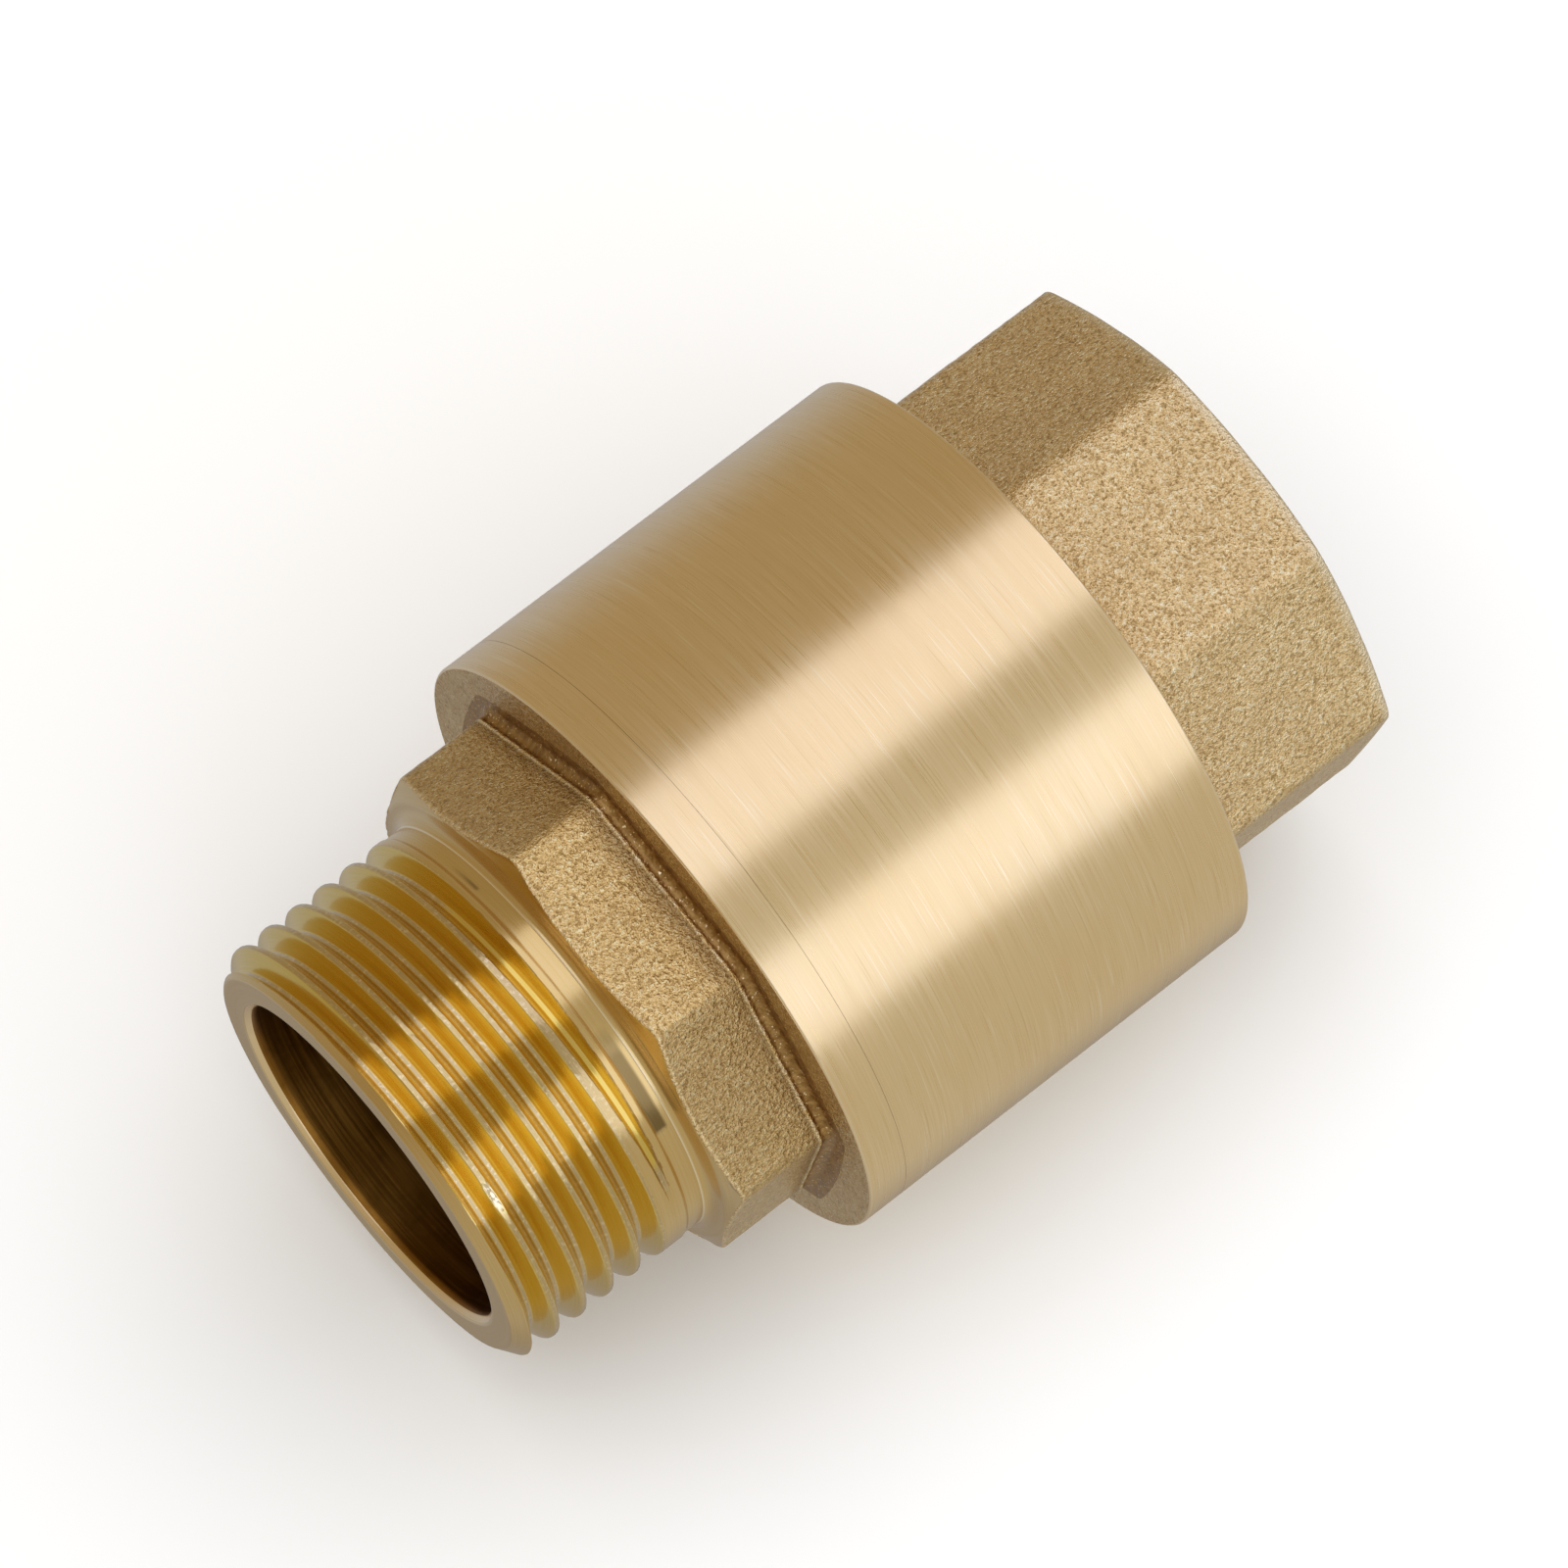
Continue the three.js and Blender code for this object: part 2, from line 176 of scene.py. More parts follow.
# Closing spring and guide.
SPRING_R = 6.5
SPRING_WIRE_R = 0.45
SPRING_TURNS = 4.5
SPRING_STEPS_PER_TURN = 40
SPRING_DEAD_TURNS = 0.8
SPRING_SEAT_DEPTH = 1.0
SPRING_SEAT_INNER_R = 5.8
SPRING_SEAT_OUTER_R = 7.4
GUIDE_BACK = 18.6
GUIDE_ARM_FRONT = 16.4
GUIDE_RIM_FRONT = 15.4
GUIDE_HUB_FRONT = 13.4
GUIDE_RIM_R = 19.8
GUIDE_RIM_INNER_R = 17.8
GUIDE_HUB_R = 5.5
GUIDE_ARMS = 3
GUIDE_ARM_WIDTH = 4.0
BUSH_R = 4.05
BUSH_BORE_R = 3.08
BUSH_FLANGE_R = 5.2
BUSH_FLANGE = 0.7

# Depth given to surfaces away from the threads.
PLAIN = -0.2

# Painted shade on the eight inlet flats, a share for each flat in turn from the corner at INLET_TURN.
INLET_FACET_SHADE = (0.58, 0.3, 0.3, 0.3, 0.3, 0.3, 0.42, 0.0)

# Facets round the axis, rows along the cast flats and across the end faces of the barrel.
ROUND = 512
ROUND_SMALL = 144
INLET_FLAT_ROWS = 71
OUTLET_FLAT_ROWS = 95
FACE_ROWS = 12

# Light and floor: colours of the surround by direction, of the soft boxes and of the lamp that adds no
# reflections; how far the lamps are shifted along the flow axis, as a share of their distance.
WORLD_BACK = (0.41, 0.335, 0.21)
WORLD_BACK_LOW = (0.46, 0.46, 0.47)
WORLD_BELOW = (0.34, 0.31, 0.28)
WORLD_FRONT = (0.56, 0.53, 0.44)
SOFTBOX = (0.66, 0.735, 0.955)
FILL = (0.95, 0.975, 1.0)
PANEL_SHIFT = 0.24
FLOOR_HALF = 3.0
FLOOR_COLOUR = (0.86, 0.86, 0.855, 1)

# ------------------------------------------------------------------ camera

CAMERA_AZIMUTH = math.radians(-39.36)
CAMERA_ELEVATION = math.radians(68.08)
CAMERA_DISTANCE = 0.666
CAMERA_AIM = Vector((0.0018, 0.0029, 0.0019))
CAMERA_LENS = 227.0


def make_camera():
    """Long lens from above the inlet, with no roll."""
    back = Vector((
        math.sin(CAMERA_AZIMUTH) * math.cos(CAMERA_ELEVATION),
        -math.cos(CAMERA_AZIMUTH) * math.cos(CAMERA_ELEVATION),
        math.sin(CAMERA_ELEVATION),
    ))
    data = bpy.data.cameras.new("camera")
    data.lens = CAMERA_LENS
    data.sensor_width = 36
    data.clip_start = 0.01
    data.clip_end = 20
    camera = bpy.data.objects.new("camera", data)
    camera.location = CAMERA_AIM + back * CAMERA_DISTANCE
    camera.rotation_mode = "QUATERNION"
    camera.rotation_quaternion = (-back).to_track_quat("-Z", "Y")
    bpy.context.collection.objects.link(camera)
    bpy.context.scene.camera = camera


make_camera()

# ------------------------------------------------------------------ seeded value noise


def eased(t):
    """Smooth step from 0 to 1."""
    return t ** 2 * (3 - 2 * t)


def lattice_noise(u, v, period, seed):
    """Smooth noise from -1 to 1 over (u, v); it repeats in u after period cells."""
    across = 512
    table = np.random.default_rng(seed).uniform(-1, 1, (period, across))
    u0 = np.floor(u).astype(int)
    v0 = np.floor(v).astype(int)
    fu = eased(u - u0)
    fv = eased(v - v0)

    def at(i, j):
        return table[np.mod(u0 + i, period), np.mod(v0 + j, across)]

    low = at(0, 0) * (1 - fu) + at(1, 0) * fu
    high = at(0, 1) * (1 - fu) + at(1, 1) * fu
    return low * (1 - fv) + high * fv


def line_noise(u, seed):
    """Smooth noise from -1 to 1 along one line."""
    cells = 8192
    table = np.random.default_rng(seed).uniform(-1, 1, cells)
    u0 = np.floor(u).astype(int)
    t = eased(u - u0)
    return table[np.mod(u0, cells)] * (1 - t) + table[np.mod(u0 + 1, cells)] * t


def round_noise(angle, x, radius, cell, seed):
    """Noise with cells of that many millimetres on a cylinder round the axis."""
    period = max(8, round(TAU * radius / cell))
    return lattice_noise(angle / TAU * period, x / cell, period, seed)


def edge_noise(angle, radius, cell, seed):
    """Noise along one circle."""
    return round_noise(angle, np.zeros_like(angle), radius, cell, seed)


# ------------------------------------------------------------------ meshes


class Patch:
    """Points in millimetres with a wear, depth and stain each, and quads with a material each."""

    def __init__(self, points, quads, material, wear_and_glint=0.0, depth=0.0, stain_and_shade=0.0):
        count = points[..., 0].shape
        self.points = points.reshape(-1, 3)
        self.quads = quads.reshape(-1, 4)
        self.material = np.broadcast_to(material, len(self.quads))
        self.wear_and_glint = np.broadcast_to(wear_and_glint, count).ravel()
        self.depth = np.broadcast_to(depth, count).ravel()
        self.stain_and_shade = np.broadcast_to(stain_and_shade, count).ravel()


def grid_quads(rows, columns, wrap_rows=False, wrap_columns=True):
    """Quads of a grid of points, joined at its ends where it wraps."""
    i = np.arange(rows if wrap_rows else rows - 1)[:, None]
    j = np.arange(columns if wrap_columns else columns - 1)[None, :]
    i1 = (i + 1) % rows
    j1 = (j + 1) % columns
    corners = (i * columns + j, i * columns + j1, i1 * columns + j1, i1 * columns + j)
    return np.stack(np.broadcast_arrays(*corners), -1)


def circle(count):
    """Even angles round a full turn."""
    return np.arange(count) * TAU / count


def polar_points(x, r, angle):
    """Points at those stations, radii and angles round the axis."""
    x, r, angle = np.broadcast_arrays(x, r, angle)
    return np.stack([x, -r * np.sin(angle), r * np.cos(angle)], -1)


def make_piece(name, patches, materials, body, nodes, sharp=35):
    """One object of all the patches, welded, riding on a CAD body in place of its nodes."""
    offsets = np.cumsum([0] + [len(p.points) for p in patches])
    points = np.concatenate([p.points for p in patches])
    quads = np.concatenate([p.quads + o for p, o in zip(patches, offsets)])
    data = bpy.data.meshes.new(name)
    data.from_pydata((points * MM).tolist(), [], quads.tolist())
    for material in materials:
        data.materials.append(material)
    indices = np.concatenate([p.material for p in patches]).astype(np.int32)
    data.polygons.foreach_set("material_index", indices)
    for key in ("wear_and_glint", "depth", "stain_and_shade"):
        values = np.concatenate([getattr(p, key) for p in patches]).astype(np.float32)
        data.attributes.new(key, "FLOAT", "POINT").data.foreach_set("value", values)
    weld(data)
    data.shade_smooth()
    data.set_sharp_from_angle(angle=math.radians(sharp))
    piece = bpy.data.objects.new(name, data)
    bpy.context.collection.objects.link(piece)
    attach(piece, body)
    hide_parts(*nodes)
    return piece


def quarter_turn(steps):
    """Sine and cosine at even steps over a quarter turn, leaving out its start."""
    for k in range(1, steps + 1):
        a = math.pi / 2 * k / steps
        yield math.sin(a), math.cos(a)


def weld(data):
    """Joins doubles, drops collapsed faces and turns the rest outwards."""
    work = bmesh.new()
    work.from_mesh(data)
    bmesh.ops.remove_doubles(work, verts=work.verts, dist=2e-7)
    bmesh.ops.dissolve_degenerate(work, edges=work.edges, dist=1e-8)
    bmesh.ops.recalc_face_normals(work, faces=work.faces)
    work.to_mesh(data)
    work.free()


class Outline:
    """Rows of (x, r, wear, stain) round the axis, each one value or one per angle."""

    def __init__(self, count=ROUND):
        self.angle = circle(count)
        self.rows = []
        self.materials = []

    def add(self, x, r, material=0, wear_and_glint=0.0, stain_and_shade=0.0):
        """One row; material is that of the faces between it and the row before."""
        values = (x, r, wear_and_glint, stain_and_shade)
        self.rows.append([np.broadcast_to(np.asarray(v, float), self.angle.shape) for v in values])
        self.materials.append(material)

    def line(self, x, r, steps=1, material=0):
        """Even rows from the last row to (x, r)."""
        x0, r0 = self.rows[-1][:2]
        for k in range(1, steps + 1):
            t = k / steps
            self.add(x0 + (x - x0) * t, r0 + (r - r0) * t, material)

    def arc(self, x, r, radius, start, end, steps=6, material=0, wear_and_glint=0.0):
        """Rows on an arc about (x, r); angles in degrees, 0 towards +X and 90 outwards."""
        for k in range(steps + 1):
            a = math.radians(start + (end - start) * k / steps)
            self.add(x + radius * math.cos(a), r + radius * math.sin(a), material, wear_and_glint)

    def patch(self):
        """The rows as one patch."""
        x, r, wear_and_glint, stain_and_shade = (np.array([row[k] for row in self.rows]) for k in range(4))
        quads = grid_quads(*x.shape)
        material = np.repeat(self.materials[1:], quads.shape[1])
        return Patch(polar_points(x, r, self.angle), quads, material, wear_and_glint, PLAIN, stain_and_shade)


def polygon_radius(angle, sides, flats, corner_r, turn_degrees):
    """Radius at each angle of a regular polygon with rounded corners."""
    half = math.pi / sides
    away = np.mod(angle - math.radians(turn_degrees) + half, 2 * half) - half
    centre = (flats / 2 - corner_r) / math.cos(half)
    tangent = math.atan2(corner_r * math.sin(half), centre + corner_r * math.cos(half))
    flat = flats / 2 / np.cos(half - np.abs(away))
    inside = np.clip(corner_r ** 2 - (centre * np.sin(away)) ** 2, 0, None)
    return np.where(np.abs(away) < tangent, centre * np.cos(away) + np.sqrt(inside), flat)


class Thread:
    """Right-handed pipe thread with narrow flats; root_x is the station of a root at angle 0."""

    def __init__(self, pitch, root_x):
        self.pitch = pitch
        self.root_x = root_x
        self.depth = THREAD_DEPTH_SHARE * pitch
        self.flank = self.depth * math.tan(THREAD_FLANK_ANGLE)
        self.root_half = (pitch / 2 - self.flank) / 2

    def turn(self, x, angle):
        """Which turn of the root is nearest, and the axial distance from it."""
        offset = x - self.root_x - self.pitch * angle / TAU
        turn = np.round(offset / self.pitch)
        return turn, np.abs(offset - turn * self.pitch)

    def rise(self, distance):
        """Height above the root at an axial distance from the root's centre, with eased corners."""
        share = (distance - self.root_half) / self.flank
        low = 0.5 * (share + np.sqrt(share ** 2 + THREAD_EASE ** 2))
        return self.depth * (1 - 0.5 * (1 - low + np.sqrt((1 - low) ** 2 + THREAD_EASE ** 2)))

    def phases(self):
        """Offsets of the rows in one pitch, close together at the corners of the profile."""
        corner = self.root_half
        top = corner + self.flank
        half = [corner * 0.55, corner - 0.03, corner, corner + 0.03, corner + 0.08]
        half += list(np.linspace(corner + 0.16, top - 0.16, 7))
        half += [top - 0.08, top - 0.03, top, top + 0.03, (top + self.pitch / 2) / 2]
        return [0.0] + half + [self.pitch / 2] + [self.pitch - offset for offset in reversed(half)]

    def patch(self, low_x, high_x, radius_at, material):
        """Surface between two stations whose rows follow the helix, clamped at both ends.

        radius_at(x, angle) gives the radius, then the wear, depth and stain there."""
        turns = range(math.floor((low_x - self.root_x) / self.pitch) - 2,
                      math.ceil((high_x - self.root_x) / self.pitch) + 1)
        rows = np.array([turn * self.pitch + phase for turn in turns for phase in self.phases()])
        angle = np.arange(ROUND + 1)[None, :] * TAU / ROUND
        x = np.clip(self.root_x + rows[:, None] + self.pitch * angle / TAU, low_x, high_x)
        radius, wear_and_glint, depth, stain_and_shade = radius_at(x, angle)
        quads = grid_quads(*x.shape, wrap_columns=False)
        return Patch(polar_points(x, radius, angle), quads, material, wear_and_glint, depth, stain_and_shade)


def swept(points, normals, section):
    """Closed bar: a section of (outward, sideways) offsets carried along points, with capped ends."""
    points = np.asarray(points, float)
    tangents = np.gradient(points, axis=0)
    tangents /= np.linalg.norm(tangents, axis=1)[:, None]
    sides = np.cross(tangents, normals)
    sides /= np.linalg.norm(sides, axis=1)[:, None]
    outs = np.cross(sides, tangents)
    out, side = np.asarray(section, float).T
    rings = points[:, None] + outs[:, None] * out[None, :, None] + sides[:, None] * side[None, :, None]
    ends = [np.repeat(points[k][None, None], len(section), 1) for k in (0, -1)]
    rings = np.concatenate([ends[0], rings, ends[1]])
    return Patch(rings, grid_quads(*rings.shape[:2]), 0)


# ------------------------------------------------------------------ brass surfaces

THREAD = Thread(PITCH, MALE_LAST_ROOT - PITCH * MALE_LAST_ANGLE / TAU)
SOCKET_THREAD = Thread(PITCH, SOCKET_FIRST_ROOT)

# Material places on the two housing halves.
TURNED, CAST, CUT, BORE, SKIN = range(5)


def cast_skin(angle, x, radius, seed):
    """Height of the uneven cast skin, in millimetres."""
    waves = round_noise(angle, x, radius, 5.0, seed)
    lumps = round_noise(angle, x, radius, 1.3, seed + 1)
    grains = round_noise(angle, x, radius, 0.55, seed + 2)
    return CAST_WAVE * (waves + 0.6 * lumps + 0.55 * grains)


def neck_marks_and_shade(x, angle):
    """Dark tool marks on the neck, from 0 to 1; the early part of the second mark is painted shade."""
    total = 0.0
    turn = np.degrees(np.mod(angle + math.pi, TAU) - math.pi)
    for low, high, start, end in NECK_MARKS_AND_SHADE:
        inside = np.clip((x - low) / 0.25, 0, 1) * np.clip((high - x) / 0.2, 0, 1)
        along = 0.8 + 0.2 * (turn - start) / (end - start)
        total = total + inside * along * np.clip((turn - start) / 8, 0, 1) * np.clip(end - turn, 0, 1)
    return total


def male_thread_surface(x, angle):
    """Radius, wear, depth and stain of the male thread, its end chamfer, run-out and neck."""
    turn, distance = THREAD.turn(x, angle)
    wound = turn + angle / TAU
    left = (MALE_LAST_ANGLE / TAU - wound) / MALE_RUN_OUT
    lift = np.clip(1 - left, 0, 1) ** 1.5
    radius = CREST_R - THREAD.depth * (1 - lift) + THREAD.rise(distance)
    radius = np.where(left < 0, CREST_R, np.minimum(radius, CREST_R))
    on_crest = np.clip(1 - (CREST_R - radius) / 0.15, 0, 1) * (x < MALE_LAST_ROOT)
    flecks = line_noise(wound * 700 + 40 * distance, 11)
    radius = radius - FLECK_DEPTH * np.clip(flecks, -0.2, 1) * on_crest * (1 - lift)
    away = (np.mod(angle - CHIP_ANGLE + math.pi, TAU) - math.pi) / CHIP_HALF_ANGLE
    chip = np.exp(-((x - CHIP_X) / CHIP_HALF_WIDTH) ** 2 - away ** 4)
    radius = radius - (CHIP_DEPTH + 0.1 * flecks) * chip * on_crest
    cone = TAIL_FACE_R + (x - INLET_FACE) * (CREST_R - TAIL_FACE_R) / TAIL_CHAMFER
    neck = np.clip((x - NECK_START) / 0.3, 0, 1)
    land = np.clip((x - MALE_LAST_ROOT + 0.1) / 0.3, 0, 1) * (radius > CREST_R - 0.02)
    depth = np.clip((CREST_R - radius) / THREAD.depth, 0, 1) * (1 - neck)
    plain = np.maximum(np.maximum(land, neck), lift)
    depth = np.where(radius > cone, PLAIN, depth + PLAIN * plain)
    radius = np.minimum(radius, cone)
    radius = radius + (np.minimum(radius, NECK_R) - radius) * neck
    stain_and_shade = neck_marks_and_shade(x, angle)
    return radius - MARK_DEPTH * stain_and_shade, np.clip(1.3 * chip * on_crest, 0, 1), depth, stain_and_shade


def octagon_at(outline, flats, turn):
    """Radius of a spanner octagon, sunk to leave room for its cast skin inside the CAD."""
    return polygon_radius(outline.angle, 8, flats, CORNER_R, turn) - SKIN_ROOM


def inlet_bore():
    """Bore from the seat lip to the inlet, and the face up to the thread's first row."""
    o = Outline()
    o.add(SEAT_LIP_END, LIP_OUTER_R)
    o.line(SEAT_LIP_END, LIP_INNER_R, 2, TURNED)
    o.line(SPIGOT_END, PORT_R, 2, TURNED)
    o.line(INLET_FACE + BORE_CHAMFER, PORT_R, 60, BORE)
    o.line(INLET_FACE + 0.06, PORT_R + BORE_CHAMFER - 0.06, 3, TURNED)
    o.add(INLET_FACE, PORT_R + BORE_CHAMFER + 0.05, CUT, 0.3)
    o.line(INLET_FACE, male_thread_surface(np.full_like(o.angle, INLET_FACE), o.angle)[0], 10, CUT)
    return o.patch()


def inlet_neck(o):
    """Neck behind the thread, with its tool marks and the painted shade that runs on from one of them."""
    start_r, _, _, start_marks_and_shade = male_thread_surface(np.full_like(o.angle, THREAD_END), o.angle)
    o.add(THREAD_END, start_r, CUT, 0.0, start_marks_and_shade)
    for x in np.linspace(THREAD_END, NECK_END, 12)[1:]:
        stain_and_shade = neck_marks_and_shade(x, o.angle)
        o.add(x, NECK_R - MARK_DEPTH * stain_and_shade, CUT, 0.0, stain_and_shade)


def inlet_cove(o, full):
    """Cove from the neck out to the flats, turned with the neck; gives the front edge of the flats."""
    cove_r = INLET_FLATS / 2 - 0.3
    front = INLET_OCTAGON_FRONT + 0.03
    step = 0.05
    o.add(NECK_END + 0.03, NECK_R + step, CUT, 1.0)
    for sine, cosine in quarter_turn(8):
        x = NECK_END + 0.03 + (INLET_OCTAGON_FRONT - NECK_END) * sine
        o.add(x, NECK_R + step + (cove_r - NECK_R) * (1 - cosine), CUT)
    lean = np.clip(full - cove_r, 0, None)
    for k in range(1, 5):
        r = cove_r + step + (lean - step - INLET_EDGE_R) * k / 4
        o.add(front + (r - cove_r) * INLET_CHAMFER_SLOPE, r, CUT)
    edge_x = front + (lean - INLET_EDGE_R) * INLET_CHAMFER_SLOPE
    wobble = 0.06 * edge_noise(o.angle, radius=18, cell=1.2, seed=32)
    for sine, cosine in quarter_turn(4):
        o.add(edge_x + wobble + INLET_EDGE_R * (1 - cosine), full - INLET_EDGE_R * (1 - sine), CAST, 0.3)
    return edge_x


def inlet_flats(o, full, edge_x):
    """The eight cast flats, with painted shade on some flats and on the rows next to the barrel."""
    facet = np.floor((np.degrees(o.angle) - INLET_TURN) / 45).astype(int) % 8
    facet_shade = np.array(INLET_FACET_SHADE)[facet]
    start = edge_x + 0.22
    end = BARREL_START - INLET_FILLET - RIDGE
    for k in range(1, INLET_FLAT_ROWS + 1):
        left = INLET_FLAT_ROWS - k
        x = start + (end - start) * k / INLET_FLAT_ROWS
        fade = min(1, k / 4, left / 3 + 0.4)
        # Painted shade: each flat's share, rising to full over the last rows before the barrel.
        shade = np.maximum(facet_shade, 1 - left / 18)
        o.add(x, full + fade * cast_skin(o.angle, x, radius=18.5, seed=41), CAST, 0.0, shade)


def inlet_ridge(o, full):
    """Crumpled ridge left behind the flats, with painted glints along its crest and painted shade at its
    feet, then a fillet into the end face of the barrel.
    """
    start = BARREL_START - INLET_FILLET - RIDGE
    end = BARREL_START - INLET_FILLET
    crumple = 0.035 * edge_noise(o.angle, radius=19, cell=0.45, seed=43)
    # Patchy painted glints along the crest of the ridge.
    glint = np.clip(0.45 + edge_noise(o.angle, radius=19, cell=0.6, seed=46), 0, 0.9)
    for k in range(1, 6):
        rise = math.sin(math.pi * k / 6)
        r = full + RIDGE_HEIGHT * rise + crumple
        # The fourth value paints glints on the crest, the fifth paints shade at the feet of the ridge.
        o.add(start + RIDGE * k / 6, r, CAST, glint * rise, 1 - rise)
    for k, (sine, cosine) in enumerate(quarter_turn(8), 1):
        x = np.minimum(end + INLET_FILLET * sine, BARREL_START - 0.01)
        o.add(x, full + INLET_FILLET * (1 - cosine) + crumple * (1 - k / 8), SKIN)


def face_rows(angle, start_r, end_r, seed):
    """Number, radius and roughness of each row across a cast end face of the barrel."""
    for k in range(1, FACE_ROWS + 1):
        r = start_r + (end_r - start_r) * k / FACE_ROWS
        yield k, r, FACE_ROUGH * round_noise(angle, r, radius=21, cell=0.7, seed=seed)


def inlet_end_face(o, full):
    """Cast end face of the barrel, then its ragged turned edge."""
    outer = BARREL_R - BARREL_EDGE
    for k, r, rough in face_rows(o.angle, full + INLET_FILLET, outer, seed=44):
        fade = min(1, (FACE_ROWS - k) / 2)
        # The cast rows across this face are evenly darkened a little.
        o.add(BARREL_START - FACE_ROUGH + rough * fade, r, SKIN if k < 4 else CAST, 0.0, 0.35)
    ragged = 0.03 * np.clip(edge_noise(o.angle, radius=BARREL_R, cell=0.5, seed=45), 0, 1)
    for k in range(5):
        a = math.pi / 2 * k / 4
        x = BARREL_START + BARREL_EDGE * (1 - math.cos(a)) + ragged * math.sin(a)
        o.add(x, outer + BARREL_EDGE * math.sin(a), TURNED, 0.5 * math.sin(2 * a))


def spigot(o):
    """Barrel to the seam, the groove for the O-ring, the spigot and the seat lip."""
    o.line(BARREL_START + BARREL_EDGE + 0.06, BARREL_R, 1, TURNED)
    o.line(TAIL_SEAM, BARREL_R, 14, TURNED)
    o.line(TAIL_SEAM, O_RING_FLOOR_R, 6, TURNED)
    o.line(O_RING_GROOVE_END, O_RING_FLOOR_R, 4, TURNED)
    o.line(O_RING_GROOVE_END, SPIGOT_R, 3, TURNED)
    o.line(SPIGOT_END - SPIGOT_CHAMFER, SPIGOT_R, 12, TURNED)
    o.line(SPIGOT_END, SPIGOT_R - SPIGOT_CHAMFER, 2, TURNED)
    o.line(SPIGOT_END, LIP_OUTER_R + 0.3, 8, TURNED)
    o.line(SEAT_LIP_END, LIP_OUTER_R, 2, TURNED)


def end_connector():
    """Male half: bore, face, thread, neck, octagon, start of the barrel, spigot and seat lip."""
    o = Outline()
    full = octagon_at(o, INLET_FLATS, INLET_TURN)
    inlet_neck(o)
    edge_x = inlet_cove(o, full)
    inlet_flats(o, full, edge_x)
    inlet_ridge(o, full)
    inlet_end_face(o, full)
    spigot(o)
    thread = THREAD.patch(INLET_FACE, THREAD_END, male_thread_surface, CUT)
    return [inlet_bore(), thread, o.patch()]


def socket_thread_surface(x, angle):
    """Radius, wear, depth and stain of the socket's thread, its mouth chamfer and relief."""
    turn, distance = SOCKET_THREAD.turn(x, angle)
    radius = SOCKET_CREST_R + SOCKET_THREAD.depth - SOCKET_THREAD.rise(distance)
    radius = np.where(turn < 0, SOCKET_CREST_R, radius)
    depth = np.clip((radius - SOCKET_CREST_R) / SOCKET_THREAD.depth, 0, 1)
    mouth = SOCKET_CREST_R + np.clip(x - OUTLET_FACE + SOCKET_CHAMFER, 0, None)
    relief = np.clip((RELIEF_END + RELIEF_R - SOCKET_CREST_R - x) / (RELIEF_R - SOCKET_CREST_R), 0, 1)
    plain = np.maximum(mouth, SOCKET_CREST_R + (RELIEF_R - SOCKET_CREST_R) * relief)
    return np.maximum(radius, plain), 0.0, np.where(radius > plain, depth, PLAIN), 0.0


def body_barrel(o, full):
    """Barrel from the seam to its outlet end, the cast end face and the fillet into the flats, which carries
    painted shade.
    """
    outer = BARREL_R - BARREL_EDGE
    inner = full + OUTLET_FILLET
    o.add(BODY_SEAM, CHAMBER_R)
    o.line(BODY_SEAM, BARREL_R, 4, TURNED)
    o.line(BARREL_END - BARREL_EDGE - 0.06, BARREL_R, 60, TURNED)
    o.line(BARREL_END - BARREL_EDGE, BARREL_R, 1, TURNED)
    o.arc(BARREL_END - BARREL_EDGE, outer, BARREL_EDGE, 90, 0, 4, TURNED, 0.5)
    for k, r, rough in face_rows(o.angle, outer, inner, seed=54):
        o.add(BARREL_END - FACE_ROUGH + rough * min(1, k / 2), r, CAST)
    # Full painted shade along the fillet into the flats.
    for sine, cosine in quarter_turn(6):
        o.add(BARREL_END + OUTLET_FILLET * (1 - cosine), inner - OUTLET_FILLET * sine, CAST, 0.0, 1.0)


def outlet_octagon(o, full):
    """The cast flats, their worn outer edge and the leaning face down to the mouth of the socket, with
    painted shade on the first rows of the flats beside the barrel.
    """
    def slope_x(r):
        return OUTLET_FACE - np.clip(r - OUTLET_FLATS / 2 + 0.25, 0, None) * OUTLET_CHAMFER_SLOPE

    edge_r = full - OUTLET_EDGE_R
    edge_x = slope_x(edge_r) - OUTLET_EDGE_R
    start = BARREL_END + OUTLET_FILLET
    for k in range(1, OUTLET_FLAT_ROWS + 1):
        left = OUTLET_FLAT_ROWS - k
        x = start + (edge_x - start) * k / OUTLET_FLAT_ROWS
        skin = min(1, k / 3 + 0.3, left / 4) * cast_skin(o.angle, x, radius=18.8, seed=61)
        # The last value paints shade over the first rows beside the barrel; the one before is wear near the
        # outer edge.
        o.add(x, full + skin, CAST, max(0, 1 - left / 4), max(0, 1 - k / 5))
    for sine, cosine in quarter_turn(5):
        o.add(edge_x + OUTLET_EDGE_R * sine, edge_r + OUTLET_EDGE_R * cosine, CAST, 1.0)
    mouth = SOCKET_CREST_R + SOCKET_CHAMFER
    for k in range(1, FACE_ROWS + 1):
        r = edge_r + (mouth - edge_r) * k / FACE_ROWS
        o.add(slope_x(r), r, TURNED, 0.3)


def valve_body():
    """Female half: barrel, octagon, threaded socket, port and chamber."""
    outside = Outline()
    full = octagon_at(outside, OUTLET_FLATS, OUTLET_TURN)
    body_barrel(outside, full)
    outlet_octagon(outside, full)
    thread = SOCKET_THREAD.patch(RELIEF_END, OUTLET_FACE, socket_thread_surface, CUT)
    inside = Outline()
    inside.add(RELIEF_END, RELIEF_R)
    inside.line(WEB_END, RELIEF_R, 4, BORE)
    inside.line(WEB_END, PORT_R, 6, BORE)
    inside.line(WEB_START, PORT_R, 8, BORE)
    inside.line(WEB_START, CHAMBER_R, 6, TURNED)
    inside.line(BODY_SEAM, CHAMBER_R, 30, TURNED)
    return [outside.patch(), thread, inside.patch()]


